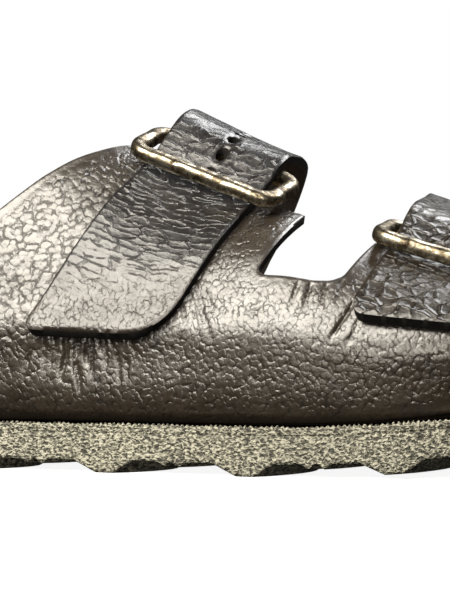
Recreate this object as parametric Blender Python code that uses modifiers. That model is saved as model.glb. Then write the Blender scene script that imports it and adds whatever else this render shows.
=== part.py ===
"""Buckle sandal for the right foot: outsole, insole, strapped leather upper, two buckles and their prongs.

+X runs to the toe, +Y to the inner side of the foot, +Z up.
The origin is the middle of the footprint, on the floor.
"""

import math
from collections import namedtuple

import bmesh
import bpy
import numpy as np
from mathutils import Matrix, Vector

# Sizes are in millimetres, and mesh_object and wire_object turn them into metres.
MM = 0.001

# Driving dimensions
LENGTH = 281.0
HALF_LENGTH = LENGTH / 2
SOLE_THICKNESS = 11.6
LEATHER = 2.3
GAP = 0.3
WELD = 0.001
LATERAL, MEDIAL = -1, 1
OUTLINE_STEPS = 400
SHARP_ANGLE = 40

# Footprint: half widths measured from a spine that bends to the inner side at the toe
Width = namedtuple("Width", "from_heel lateral medial")
WIDTHS = (
    Width(15, 27.0, 27.0),
    Width(30, 33.0, 33.0),
    Width(50, 35.0, 34.5),
    Width(85, 37.5, 33.5),
    Width(115, 41.0, 34.0),
    Width(145, 46.0, 38.5),
    Width(175, 51.5, 45.0),
    Width(200, 54.5, 49.0),
    Width(225, 54.5, 49.0),
    Width(250, 48.0, 42.0),
    Width(268, 35.5, 30.5),
)
HEEL_RADIUS = 33.0
TOE_RADIUS = 48.0
TOE_SHIFT = 13.0

# Sole profile and tread, with ribs that sway to the toe on the outer half and to the heel on the inner half
TOE_SPRING_START = 35.2
TOE_SPRING_RADIUS = 460.0
HEEL_LIFT_START = -118.0
HEEL_LIFT_RADIUS = 180.0
LUG_PITCH = 35.8
LUG_START = -5.2
LUG_FLAT = 4.5
LUG_STEEP = 4.8
LUG_GENTLE = 5.8
LUG_DEPTH = 2.9
LUGS_EACH_WAY = 3
HEEL_LUG_END = -122.0
TOE_LUG_START = 128.0
RIB_SWAY = 11.5
RIB_COLUMNS = 9
END_STEPS = (0.4, 1.6, 4.0, 8.0, 13.0)
LONGEST_STEP = 6.0

# Last: sections lean to the toe as the straps do, so a strap's edges keep one station each
LEAN = 0.6
BULGE_HEIGHT = 28.0
BULGE_INSET = 3.2
FEATHER_INSET = 7.0
SECTION_STEPS = 48
Crest = namedtuple("Crest", "station height offset fullness")
CRESTS = (
    Crest(-140, 112.0, 0.0, 2.45),
    Crest(-100, 100.0, 0.0, 2.45),
    Crest(-75, 91.0, 1.0, 2.45),
    Crest(-47, 81.0, 2.0, 2.45),
    Crest(-9, 67.5, 4.0, 2.45),
    Crest(30, 57.5, 7.0, 2.45),
    Crest(65, 47.0, 9.0, 2.45),
    Crest(100, 37.0, 10.0, 2.45),
    Crest(140, 30.0, 10.0, 2.45),
)

# Upper: heights of each quarter's top line, station by station, below its arms or straps
Top = namedtuple("Top", "station height")
LATERAL_REAR_TOP = (
    Top(-105, 16.5),
    Top(-99, 24.5),
    Top(-92, 34.5),
    Top(-84, 46.5),
    Top(-78, 54.5),
    Top(-72, 62.5),
)
LATERAL_NOTCH = (
    Top(7.5, 46.0),
    Top(10.0, 44.6),
    Top(15.0, 44.3),
    Top(24.0, 44.2),
    Top(27.0, 44.8),
)
MEDIAL_REAR_TOP = (
    Top(-98, 17.0),
    Top(-91, 25.0),
    Top(-82, 36.0),
    Top(-72, 47.0),
    Top(-62, 57.5),
    Top(-53, 66.0),
    Top(-48, 69.0),
)
MEDIAL_NOTCH = (
    Top(-7.0, 45.0),
    Top(-3.5, 42.0),
    Top(3.0, 41.0),
    Top(17.0, 40.0),
    Top(25.0, 40.5),
    Top(28.5, 42.5),
)
MEDIAL_FRONT_TOP = (
    Top(66.5, 36.0),
    Top(69.0, 29.0),
    Top(74.0, 19.5),
)
QUARTER_ROWS = 8
FEATHER_CROWDING = 1.5

# Arms of the outer quarter: stations of each, heights where it leaves the quarter, and the girth of its rim
Rim = namedtuple("Rim", "station girth")
REAR_RIM = (
    Rim(-66, -0.365),
    Rim(-62, -0.305),
    Rim(-57, -0.25),
    Rim(-52, -0.20),
    Rim(-46, -0.19),
    Rim(-40, -0.22),
    Rim(-20, -0.25),
    Rim(-5, -0.295),
    Rim(7, -0.34),
)
FRONT_RIM = (
    Rim(28, -0.42),
    Rim(32, -0.43),
    Rim(38, -0.475),
    Rim(45, -0.525),
    Rim(73, -0.60),
)
Arm = namedtuple("Arm", "start end start_height end_height steps rim")
ARMS = (
    Arm(-66.0, 6.2, 71.0, 47.5, 15, REAR_RIM),
    Arm(28.3, 73.0, 46.5, 38.0, 10, FRONT_RIM),
)
ARM_ROWS = 6

# Buckles: stations and girths of the front bar's ends, lifts of the front and back bars above the last
Buckle = namedtuple("Buckle", "start end start_girth end_girth front_lift back_lift")
REAR_BUCKLE = Buckle(-46.3, -1.3, -0.2776, -0.3885, 7.6, 7.6)
FRONT_BUCKLE = Buckle(29.4, 74.4, -0.4885, -0.6625, 7.4, 5.8)
BUCKLE_LENGTH = 42.4
BUCKLE_DEPTH = 20.0
BUCKLE_WIRE = 4.0
BUCKLE_CORNER = 4.0
BUCKLE_GIRTH_SPAN = 0.20
CORNER_STEPS = 4

# Lift of a strap's inner face above the last, by girth past the buckle's front bar
# It lies on the outer quarter, goes under that bar, over the back bar, and down to the last on the inner side
Lift = namedtuple("Lift", "past_bar height")
JOIN_DEPTH = 0.6
LYING = LEATHER - JOIN_DEPTH
REAR_LIFTS = (
    Lift(-0.74, LYING),
    Lift(-0.16, LYING),
    Lift(0.0, 2.9),
    Lift(0.03, 3.6),
    Lift(0.08, 6.8),
    Lift(0.13, 10.5),
    Lift(0.165, 11.2),
    Lift(0.22, 10.7),
    Lift(0.35, 9.7),
    Lift(0.565, 5.5),
    Lift(0.735, 1.5),
    Lift(0.865, 0.0),
    Lift(1.7, 0.0),
)
FRONT_LIFTS = (
    Lift(-0.50, LYING),
    Lift(-0.14, LYING),
    Lift(0.0, 2.4),
    Lift(0.04, 3.0),
    Lift(0.09, 5.8),
    Lift(0.15, 8.9),
    Lift(0.19, 9.5),
    Lift(0.25, 9.4),
    Lift(0.35, 9.5),
    Lift(0.50, 10.4),
    Lift(0.70, 7.5),
    Lift(0.90, 3.0),
    Lift(1.05, 0.5),
    Lift(1.15, 0.0),
    Lift(1.7, 0.0),
)

# How far a strap runs to the toe of its stations, by girth
Slide = namedtuple("Slide", "girth along")
REAR_SLIDES = (
    Slide(-0.75, 0.8),
    Slide(-0.40, 0.5),
    Slide(-0.24, 2.6),
    Slide(0.05, 2.6),
    Slide(0.45, 0.0),
)
FRONT_SLIDES = (
    Slide(-0.75, 4.5),
    Slide(0.0, 0.0),
)

# Straps: stations, junction with the inner quarter, height of the tip, its fall to the toe and corner radii
Strap = namedtuple(
    "Strap",
    "name start end start_height end_height tip_height tip_fall start_corner end_corner buckle lifts slides",
)
STRAPS = (
    Strap("rear", -44.5, -8.0, 70.0, 48.0, 33.9, 1.5, 3.5, 7.5, REAR_BUCKLE, REAR_LIFTS, REAR_SLIDES),
    Strap("front", 31.0, 66.5, 44.5, 40.0, 36.9, 3.0, 4.5, 4.5, FRONT_BUCKLE, FRONT_LIFTS, FRONT_SLIDES),
)
TIP_SHARES = (0.0, 0.11, 0.36, 1.0)
TIP_FLARE = 1.8
TIP_FLARE_SPAN = 0.12
STRAP_STEPS = 5
STRAP_ROWS = 24
NOTCH_MIDDLE = 10.0

# Prongs: a hook on the back bar, a run under the strap, and a tip up through a hole behind the front bar
PRONG_WIRE = 1.6
PRONG_HOOK_ANGLES = (-10, -40, -70, -100, -130)
PRONG_RUN = ((-1.2, -3.6), (-4.0, -4.3), (-4.8, -3.7), (-5.0, -2.2), (-5.05, 0.0))
HOLE_DIAMETER = 2.8
HOLE_ACROSS = -4.95
HOLE_BOTTOM = -5.2
HOLE_TOP = 3.0
HOLE_SIDES = 10

# Insole: heights of its top above the sole, at its middle and at its two rims
Bed = namedtuple("Bed", "from_heel centre lateral medial")
BEDS = (
    Bed(0, 14.0, 21.0, 21.0),
    Bed(40, 12.0, 21.0, 22.0),
    Bed(100, 13.0, 17.5, 24.0),
    Bed(150, 12.0, 15.0, 18.0),
    Bed(200, 10.0, 13.0, 13.0),
    Bed(245, 10.0, 13.5, 13.5),
    Bed(281, 12.0, 14.0, 14.0),
)
BED_GAP = 1.6
BED_DISH = 3.0
BED_STATIONS = 26
BED_ROWS = 8
BED_SIDE_STEPS = (0.0, 0.28, 0.4, 0.6, 0.8, 1.0)
BED_END_TURN = 0.06
BED_END_FILL = 1.5


def smooth(at, knots, values):
    """Cubic through a table's rows, with the slope at each row taken from its neighbours."""
    knots = np.asarray(knots, float)
    values = np.asarray(values, float)
    slopes = np.gradient(values, knots)
    at = np.clip(at, knots[0], knots[-1])
    row = np.clip(np.searchsorted(knots, at) - 1, 0, len(knots) - 2)
    step = knots[row + 1] - knots[row]
    t = (at - knots[row]) / step
    start = values[row] * (1 + 2 * t) * (1 - t) ** 2 + slopes[row] * step * t * (1 - t) ** 2
    end = values[row + 1] * t * t * (3 - 2 * t) + slopes[row + 1] * step * t * t * (t - 1)
    return start + end


def column_of(table, name):
    return [getattr(row, name) for row in table]


def end_round(along):
    """1 at mid length, falling to 0 at both ends as a circle does."""
    return 2 * np.sqrt(np.clip(along * (1 - along), 0, None))


def spine(x):
    bend = np.clip((x + HALF_LENGTH) / LENGTH - 0.5, 0, 0.5) / 0.5
    return TOE_SHIFT * bend**2


def half_width(x, side, inset=0.0):
    """Half width of the footprint on one side of the spine, drawn in by inset all round."""
    along = (x + HALF_LENGTH - inset) / (LENGTH - 2 * inset)
    name = "lateral" if side == LATERAL else "medial"
    knots = np.array(column_of(WIDTHS, "from_heel")) / LENGTH
    fullness = np.array(column_of(WIDTHS, name)) / end_round(knots)
    knots = np.concatenate([[0.0], knots, [1.0]])
    ends = [math.sqrt(radius * LENGTH / 2) for radius in (HEEL_RADIUS, TOE_RADIUS)]
    fullness = np.concatenate([[ends[0]], fullness, [ends[1]]])
    along = np.clip(along, 0, 1)
    return end_round(along) * (smooth(along, knots, fullness) - inset)


def outline(x, side, inset=0.0):
    return spine(x) + side * half_width(x, side, inset) - MIDDLE_Y


def footprint_middle():
    x = np.linspace(-HALF_LENGTH, HALF_LENGTH, OUTLINE_STEPS)
    lowest = (spine(x) - half_width(x, LATERAL)).min()
    highest = (spine(x) + half_width(x, MEDIAL)).max()
    return (lowest + highest) / 2


MIDDLE_Y = footprint_middle()


def rise(x):
    """How far the sole's underside lifts at the toe and at the back of the heel."""
    toe = np.clip(x - TOE_SPRING_START, 0, None) ** 2 / (2 * TOE_SPRING_RADIUS)
    heel = np.clip(HEEL_LIFT_START - x, 0, None) ** 2 / (2 * HEEL_LIFT_RADIUS)
    return toe + heel


def sole_top(x):
    return SOLE_THICKNESS + rise(x)


def section_side(station, side):
    """One side of a section of the last, from the feather line up to the crest, as y and z."""
    height = smooth(station, column_of(CRESTS, "station"), column_of(CRESTS, "height"))
    offset = smooth(station, column_of(CRESTS, "station"), column_of(CRESTS, "offset"))
    fullness = smooth(station, column_of(CRESTS, "station"), column_of(CRESTS, "fullness"))
    bulge_x = station + LEAN * BULGE_HEIGHT
    feather_x = station + LEAN * SOLE_THICKNESS
    feather_z = sole_top(feather_x) + LEATHER + GAP
    bulge_z = BULGE_HEIGHT + rise(bulge_x)
    crest_y = spine(bulge_x) + offset - MIDDLE_Y
    bulge_reach = abs(outline(bulge_x, side, BULGE_INSET) - crest_y)
    feather_reach = abs(outline(feather_x, side, FEATHER_INSET) - crest_y)
    turn = np.linspace(0, math.pi / 2, SECTION_STEPS)
    low_reach = feather_reach + (bulge_reach - feather_reach) * np.sin(turn)
    low_z = bulge_z - (bulge_z - feather_z) * np.cos(turn)
    high_reach = bulge_reach * np.cos(turn) ** (2 / fullness)
    high_z = bulge_z + (height - bulge_z) * np.sin(turn) ** (2 / fullness)
    reach = np.concatenate([low_reach, high_reach[1:]])
    z = np.concatenate([low_z, high_z[1:]])
    return crest_y + side * reach, z


def girth_of(y, z):
    """Share of the way from the feather line to the crest, by length along the section."""
    run = np.concatenate([[0.0], np.cumsum(np.hypot(np.diff(y), np.diff(z)))])
    return run / run[-1]


def last_points(station, girth):
    """Points of the last at one station: girth -1 is the outer feather line, 0 the crest, 1 the inner one."""
    girth = np.asarray(girth, float)
    points = np.empty((len(girth), 3))
    for side in (LATERAL, MEDIAL):
        y, z = section_side(station, side)
        here = girth < 0 if side == LATERAL else girth >= 0
        share = 1 - np.abs(girth[here])
        points[here, 1] = np.interp(share, girth_of(y, z), y)
        points[here, 2] = np.interp(share, girth_of(y, z), z)
    points[:, 0] = station + LEAN * points[:, 2]
    return points


def lifted_points(station, girth, lift):
    """Points at a height above the last, along its own outward normal."""
    step, turn = 1.0, 0.02
    girth = np.asarray(girth, float)
    along = last_points(station + step, girth) - last_points(station - step, girth)
    upper, lower = np.clip(girth + turn, -1, 1), np.clip(girth - turn, -1, 1)
    around = last_points(station, upper) - last_points(station, lower)
    normal = np.cross(along, around)
    normal /= np.linalg.norm(normal, axis=1)[:, None]
    return last_points(station, girth) + normal * np.reshape(lift, (-1, 1))


def girth_at_height(station, side, height):
    y, z = section_side(station, side)
    return side * (1 - np.interp(height, z, girth_of(y, z)))


def strap_lift(strap, station, girth):
    """Lift of a strap's inner face."""
    buckle = strap.buckle
    bar = np.interp(station, (buckle.start, buckle.end), (buckle.start_girth, buckle.end_girth))
    lift = smooth(girth - bar, column_of(strap.lifts, "past_bar"), column_of(strap.lifts, "height"))
    return np.clip(lift, 0, None)


def mesh_object(name, bm, collection, material):
    """Object from a mesh worked out in millimetres."""
    bmesh.ops.scale(bm, vec=(MM, MM, MM), verts=bm.verts)
    mesh = bpy.data.meshes.new(name)
    bm.to_mesh(mesh)
    bm.free()
    mesh.shade_smooth()
    mesh.set_sharp_from_angle(angle=math.radians(SHARP_ANGLE))
    return add_object(name, mesh, collection, material)


def add_object(name, data, collection, material):
    obj = bpy.data.objects.new(name, data)
    obj.data.materials.append(material)
    collection.objects.link(obj)
    return obj


def wire_object(name, points, diameter, cyclic, collection, material):
    """Round wire along points in millimetres."""
    curve = bpy.data.curves.new(name, "CURVE")
    curve.dimensions = "3D"
    curve.bevel_depth = diameter / 2 * MM
    curve.bevel_resolution = 2
    curve.use_fill_caps = not cyclic
    spline = curve.splines.new("POLY")
    spline.points.add(len(points) - 1)
    for place, point in zip(spline.points, points):
        place.co = (*(value * MM for value in point), 1.0)
    spline.use_cyclic_u = cyclic
    return add_object(name, curve, collection, material)


def loft(rings):
    """Closed mesh through rings of equal length, with a flat cap at each end."""
    bm = bmesh.new()
    loops = [[bm.verts.new(point) for point in ring] for ring in rings]
    for near, far in zip(loops, loops[1:]):
        for i in range(len(near)):
            bm.faces.new((near[i], near[i - 1], far[i - 1], far[i]))
    bm.faces.new(loops[0])
    bm.faces.new(loops[-1])
    bmesh.ops.recalc_face_normals(bm, faces=bm.faces)
    return bm


def draped_grid(bm, columns):
    """Adds an open grid through columns of points of equal length."""
    rows = len(columns[0])
    grid = bmesh.ops.create_grid(bm, x_segments=len(columns) - 1, y_segments=rows - 1, size=0.5)
    for vert in grid["verts"]:
        i = round((vert.co.x + 0.5) * (len(columns) - 1))
        j = round((vert.co.y + 0.5) * (rows - 1))
        vert.co = columns[i][j]


def outsole_rows():
    """Stations along the sole and how far its underside is cut in at each: lugs, steep fronts, recesses."""
    lugs = [(-HALF_LENGTH, HEEL_LUG_END)]
    for k in range(-LUGS_EACH_WAY, LUGS_EACH_WAY + 1):
        start = LUG_START + k * LUG_PITCH
        lugs.append((start, start + LUG_FLAT))
    lugs.append((TOE_LUG_START, HALF_LENGTH))
    rows = [(-HALF_LENGTH + step, 0.0) for step in END_STEPS]
    for (_, end), (start, _) in zip(lugs, lugs[1:]):
        rows += [(end, 0.0), (end + LUG_STEEP, LUG_DEPTH), (start - LUG_GENTLE, LUG_DEPTH), (start, 0.0)]
    rows += [(HALF_LENGTH - step, 0.0) for step in reversed(END_STEPS)]
    fine = [rows[0]]
    for near, far in zip(rows, rows[1:]):
        count = math.ceil((far[0] - near[0]) / LONGEST_STEP)
        fine += [tuple(np.add(near, np.subtract(far, near) * k / count)) for k in range(1, count + 1)]
    return fine


def make_outsole(collection, material):
    rings = []
    for x, cut in outsole_rows():
        ring = []
        sway = RIB_SWAY * end_round((x + HALF_LENGTH) / LENGTH) ** 2
        for share in np.linspace(0, 1, RIB_COLUMNS):
            rib_x = x + sway * math.sin(2 * math.pi * share)
            y = outline(rib_x, LATERAL) * (1 - share) + outline(rib_x, MEDIAL) * share
            ring.append((rib_x, y, rise(x) + cut))
        ring.append((x, outline(x, MEDIAL), sole_top(x)))
        ring.append((x, outline(x, LATERAL), sole_top(x)))
        rings.append(ring)
    return mesh_object("outsole", loft(rings), collection, material)


def bed_height(x, across):
    """Height of the insole's top: across is -1 at its outer rim and 1 at its inner rim."""
    rows = column_of(BEDS, "from_heel")
    centre = smooth(x + HALF_LENGTH, rows, column_of(BEDS, "centre"))
    name = "lateral" if across < 0 else "medial"
    rim = smooth(x + HALF_LENGTH, rows, column_of(BEDS, name))
    hollow = (rim - centre) * np.clip(BED_END_FILL * end_round((x + HALF_LENGTH) / LENGTH), 0, 1)
    return sole_top(x) + rim - hollow * (1 - abs(across) ** BED_DISH)


def bed_inset(above_sole):
    """How far the insole's side wall stands in from the sole's outline, a gap inside the last."""
    lip = GAP + LEATHER + BED_GAP
    share = np.clip((above_sole - lip) / (BULGE_HEIGHT - SOLE_THICKNESS - lip), 0, 1)
    return BED_GAP + FEATHER_INSET - (FEATHER_INSET - BULGE_INSET) * math.sqrt(1 - (1 - share) ** 2)


def make_insole(collection, material):
    rings = []
    for turn in np.linspace(BED_END_TURN, math.pi - BED_END_TURN, BED_STATIONS):
        along = -math.cos(turn)
        middle_x = along * (HALF_LENGTH - BULGE_INSET - BED_GAP)
        walls = []
        for side in (LATERAL, MEDIAL):
            rim = bed_height(middle_x, side) - sole_top(middle_x)
            wall = []
            for step in BED_SIDE_STEPS:
                above = GAP + (rim - GAP) * step
                inset = bed_inset(above)
                x = along * (HALF_LENGTH - inset)
                wall.append((x, float(outline(x, side, inset)), float(sole_top(x) + above)))
            walls.append(wall)
        lateral, medial = walls
        ring = lateral[::-1] + medial
        for share in np.linspace(1, 0, BED_ROWS + 1)[1:-1]:
            x, y, _ = np.add(lateral[-1], np.subtract(medial[-1], lateral[-1]) * share)
            ring.append((x, y, float(bed_height(x, 2 * share - 1))))
        rings.append(ring)
    return mesh_object("insole", loft(rings), collection, material)


def top_line(rows, side):
    """Station and girth of each row of a quarter's top line."""
    return [(row.station, girth_at_height(row.station, side, row.height)) for row in rows]


def junction(piece, stations, side):
    """Station and girth where an arm or a strap leaves its quarter."""
    heights = np.interp(stations, (piece.start, piece.end), (piece.start_height, piece.end_height))
    return [(s, girth_at_height(s, side, height)) for s, height in zip(stations, heights)]


def closer_low(count):
    """Shares from 0 to 1, closer together at the feather line."""
    return np.linspace(0, 1, count + 1) ** FEATHER_CROWDING


def outer_quarter():
    """Outer quarter with its two arms, and the notch between them."""
    arms = [junction(arm, np.linspace(arm.start, arm.end, arm.steps), LATERAL) for arm in ARMS]
    top = top_line(LATERAL_REAR_TOP, LATERAL) + arms[0] + top_line(LATERAL_NOTCH, LATERAL) + arms[1]
    bm = bmesh.new()
    shares = closer_low(QUARTER_ROWS)
    draped_grid(bm, [last_points(station, -1 + (girth + 1) * shares) for station, girth in top])
    for arm, join in zip(ARMS, arms):
        columns = []
        for station, girth in join:
            rim = smooth(station, column_of(arm.rim, "station"), column_of(arm.rim, "girth"))
            columns.append(last_points(station, np.linspace(girth, rim, ARM_ROWS + 1)))
        draped_grid(bm, columns)
    bmesh.ops.remove_doubles(bm, verts=bm.verts, dist=WELD)
    return bm


def strap_stations(strap):
    """Stations across a strap, closer together at the round corners of its tip."""
    first = [strap.start + strap.start_corner * share for share in TIP_SHARES]
    last = [strap.end - strap.end_corner * share for share in reversed(TIP_SHARES)]
    inner = np.linspace(first[-1], last[0], STRAP_STEPS + 2)[1:-1]
    return [*first, *inner, *last]


def corner_cut(from_edge, radius):
    """Height that a round corner takes off at a distance from the edge."""
    inside = radius - min(max(from_edge, 0.0), radius)
    return radius - math.sqrt(radius**2 - inside**2)


def tip_height(strap, station):
    return strap.tip_height - strap.tip_fall * (station - strap.start) / (strap.end - strap.start)


def tip_girth(strap, station):
    """Girth at which a strap ends, with round corners."""
    cut = corner_cut(station - strap.start, strap.start_corner)
    cut += corner_cut(strap.end - station, strap.end_corner)
    return girth_at_height(station, LATERAL, tip_height(strap, station) + cut)


def strap_points(strap, station, girth):
    """Points of a strap's inner face, with its tip flared off the outer quarter."""
    slide = np.interp(girth, column_of(strap.slides, "girth"), column_of(strap.slides, "along"))
    tip = girth_at_height(station, LATERAL, tip_height(strap, station))
    flare = TIP_FLARE * np.clip(1 - (girth - tip) / TIP_FLARE_SPAN, 0, 1) ** 2
    lift = strap_lift(strap, station + slide, girth) + flare
    return np.array([lifted_points(station + s, [g], h)[0] for s, g, h in zip(slide, girth, lift)])


def inner_quarter_and_straps():
    """Inner quarter and the two straps that run from it over the foot onto the outer quarter."""
    rear, front = STRAPS
    joins = [junction(strap, strap_stations(strap), MEDIAL) for strap in STRAPS]
    top = top_line(MEDIAL_REAR_TOP, MEDIAL) + joins[0] + top_line(MEDIAL_NOTCH, MEDIAL)
    top += joins[1] + top_line(MEDIAL_FRONT_TOP, MEDIAL)
    shares = 1 - closer_low(QUARTER_ROWS)[::-1]
    columns = []
    for station, girth in top:
        strap = rear if station < NOTCH_MIDDLE else front
        columns.append(strap_points(strap, station, girth + (1 - girth) * shares))
    bm = bmesh.new()
    draped_grid(bm, columns)
    for strap, join in zip(STRAPS, joins):
        columns = []
        for station, girth in join:
            run = np.linspace(tip_girth(strap, station), girth, STRAP_ROWS + 1)
            columns.append(strap_points(strap, station, run))
        draped_grid(bm, columns)
    bmesh.ops.remove_doubles(bm, verts=bm.verts, dist=WELD)
    return bm


def thicken(obj):
    solidify = obj.modifiers.new("leather", "SOLIDIFY")
    solidify.thickness = LEATHER * MM
    solidify.offset = 1.0


def helper(obj):
    obj.hide_render = True
    obj.display_type = "WIRE"
    return obj


def hole_cutter(strap, helpers, material):
    """Cylinder that cuts the prong's hole through a strap, behind the buckle's front bar."""
    bm = bmesh.new()
    radius = HOLE_DIAMETER / 2
    bmesh.ops.create_cone(
        bm,
        cap_ends=True,
        segments=HOLE_SIDES,
        radius1=radius,
        radius2=radius,
        depth=HOLE_TOP - HOLE_BOTTOM,
        matrix=Matrix.Translation((0, HOLE_ACROSS, (HOLE_TOP + HOLE_BOTTOM) / 2)),
    )
    cutter = mesh_object(strap.name + "_hole_cutter", bm, helpers, material)
    cutter.matrix_world = buckle_frame(strap.buckle)
    return helper(cutter)


def add_boolean(obj, operation, other):
    boolean = obj.modifiers.new(other.name, "BOOLEAN")
    boolean.operation = operation
    boolean.object = other


def make_upper(collection, helpers, material):
    """Both quarters and the straps as one solid, joined where the straps lie on the outer quarter."""
    straps = helper(mesh_object("inner_quarter_and_straps", inner_quarter_and_straps(), helpers, material))
    thicken(straps)
    for strap in STRAPS:
        add_boolean(straps, "DIFFERENCE", hole_cutter(strap, helpers, material))
    upper = mesh_object("upper", outer_quarter(), collection, material)
    thicken(upper)
    add_boolean(upper, "UNION", straps)
    return upper


def buckle_frame(buckle):
    """Centre and axes of a buckle: along its bars, across them towards the crest, and outward."""
    front, back = [], []
    for station, girth in ((buckle.start, buckle.start_girth), (buckle.end, buckle.end_girth)):
        front.append(lifted_points(station, [girth], buckle.front_lift)[0])
        back.append(lifted_points(station, [girth + BUCKLE_GIRTH_SPAN], buckle.back_lift)[0])
    along = Vector(front[1] - front[0]).normalized()
    across = Vector(back[0] + back[1] - front[0] - front[1])
    across = (across - across.dot(along) * along).normalized()
    centre = Vector(front[0] + front[1]) / 2 + across * (BUCKLE_DEPTH - BUCKLE_WIRE) / 2
    outward = along.cross(across)
    turn = Matrix((along, across, outward)).transposed().to_4x4()
    return Matrix.Translation(centre * MM) @ turn


def rounded_rectangle(length, depth, radius):
    points = []
    for quarter, (sign_x, sign_y) in enumerate(((1, 1), (-1, 1), (-1, -1), (1, -1))):
        for step in range(CORNER_STEPS + 1):
            angle = math.pi / 2 * (quarter + step / CORNER_STEPS)
            x = sign_x * (length / 2 - radius) + radius * math.cos(angle)
            y = sign_y * (depth / 2 - radius) + radius * math.sin(angle)
            points.append((x, y, 0.0))
    return points


def make_buckle(strap, collection, material):
    points = rounded_rectangle(BUCKLE_LENGTH - BUCKLE_WIRE, BUCKLE_DEPTH - BUCKLE_WIRE, BUCKLE_CORNER)
    buckle = wire_object(strap.name + "_buckle", points, BUCKLE_WIRE, True, collection, material)
    buckle.matrix_world = buckle_frame(strap.buckle)
    return buckle


def make_prong(strap, collection, material):
    """Prong in its buckle's frame: hooked on the back bar, its tip at the front bar."""
    bar = (BUCKLE_DEPTH - BUCKLE_WIRE) / 2
    radius = BUCKLE_WIRE / 2 + GAP + PRONG_WIRE / 2
    turns = [math.radians(angle) for angle in PRONG_HOOK_ANGLES]
    points = [(0.0, bar + radius * math.cos(turn), radius * math.sin(turn)) for turn in turns]
    points += [(0.0, y, z) for y, z in PRONG_RUN]
    prong = wire_object(strap.name + "_prong", points, PRONG_WIRE, False, collection, material)
    prong.matrix_world = buckle_frame(strap.buckle)
    return prong


def make_material(name, color, roughness, metallic=0.0):
    material = bpy.data.materials.new(name)
    material.use_nodes = True
    shader = material.node_tree.nodes["Principled BSDF"]
    shader.inputs["Base Color"].default_value = (*color, 1.0)
    shader.inputs["Roughness"].default_value = roughness
    shader.inputs["Metallic"].default_value = metallic
    return material


def new_collection(name):
    collection = bpy.data.collections.new(name)
    bpy.context.scene.collection.children.link(collection)
    return collection


def main():
    for obj in list(bpy.data.objects):
        bpy.data.objects.remove(obj, do_unlink=True)
    parts = new_collection("buckle_sandal")
    helpers = new_collection("helpers")
    make_outsole(parts, make_material("foam_rubber", (0.25, 0.24, 0.20), 0.8))
    make_insole(parts, make_material("suede_on_cork", (0.30, 0.22, 0.15), 0.9))
    leather = make_material("leather", (0.045, 0.04, 0.036), 0.45)
    make_upper(parts, helpers, leather)
    brass = make_material("antique_brass", (0.35, 0.28, 0.17), 0.35, 1.0)
    for strap in STRAPS:
        make_buckle(strap, parts, brass)
        make_prong(strap, parts, brass)


main()
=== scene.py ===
"""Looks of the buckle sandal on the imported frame. Sizes are in millimetres, except those of the lights."""

import math
from collections import namedtuple

import bmesh
import bpy
import numpy as np
from mathutils import Matrix, Vector, kdtree


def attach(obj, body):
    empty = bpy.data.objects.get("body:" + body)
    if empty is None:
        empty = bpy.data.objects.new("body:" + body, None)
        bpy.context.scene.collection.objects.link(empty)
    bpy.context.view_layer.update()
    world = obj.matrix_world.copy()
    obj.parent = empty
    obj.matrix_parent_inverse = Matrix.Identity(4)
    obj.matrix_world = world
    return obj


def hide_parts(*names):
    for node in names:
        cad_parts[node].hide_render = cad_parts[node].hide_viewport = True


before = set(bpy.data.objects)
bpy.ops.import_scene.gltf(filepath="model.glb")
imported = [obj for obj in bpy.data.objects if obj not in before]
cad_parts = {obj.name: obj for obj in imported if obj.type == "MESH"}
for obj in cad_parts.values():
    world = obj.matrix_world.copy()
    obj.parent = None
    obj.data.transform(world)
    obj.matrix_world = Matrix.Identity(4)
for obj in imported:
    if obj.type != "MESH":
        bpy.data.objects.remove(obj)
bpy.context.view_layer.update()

MM = 0.001
LENGTH = 281.0
HALF_LENGTH = LENGTH / 2
SOLE_THICKNESS = 11.6
LEATHER = 2.3
GAP = 0.3
LATERAL, MEDIAL = -1, 1
OUTLINE_STEPS = 400


def table(fields, *rows):
    """Rows with named fields."""
    row_type = namedtuple("Row", fields)
    return tuple(row_type(*row) for row in rows)


# Footprint: half widths measured from a spine that bends to the inner side at the toe
WIDTHS = table(
    "from_heel lateral medial",
    (15, 27.0, 27.0), (30, 33.0, 33.0), (50, 35.0, 34.5), (85, 37.5, 33.5), (115, 41.0, 34.0),
    (145, 46.0, 38.5), (175, 51.5, 45.0), (200, 54.5, 49.0), (225, 54.5, 49.0), (250, 48.0, 42.0),
    (268, 35.5, 30.5),
)
HEEL_RADIUS = 33.0
TOE_RADIUS = 48.0
TOE_SHIFT = 13.0

# Sole profile and tread, with ribs that sway to the toe on the outer half and to the heel on the inner half
TOE_SPRING_START = 35.2
TOE_SPRING_RADIUS = 460.0
HEEL_LIFT_START = -118.0
HEEL_LIFT_RADIUS = 180.0
LUG_PITCH = 35.8
LUG_START = -5.2
LUG_FLAT = 4.5
LUG_STEEP = 4.8
LUG_GENTLE = 5.8
LUG_DEPTH = 2.9
LUGS_EACH_WAY = 3
HEEL_LUG_END = -122.0
TOE_LUG_START = 128.0
RIB_SWAY = 11.5
RIB_COLUMNS = 25
SOLE_RINGS = 1300
LEDGE_ROWS = 3
SOLE_END_TURN = 0.012
TOOTH_DEPTH = 1.1
TOOTH_WIDTH = 1.7
TOOTH_SPACING = 3.8
BEAD_PITCH = 1.25
BEAD_HEIGHT = 0.85
BEAD_WANDER = 0.35
BEAD_SPREAD = 0.25

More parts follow.
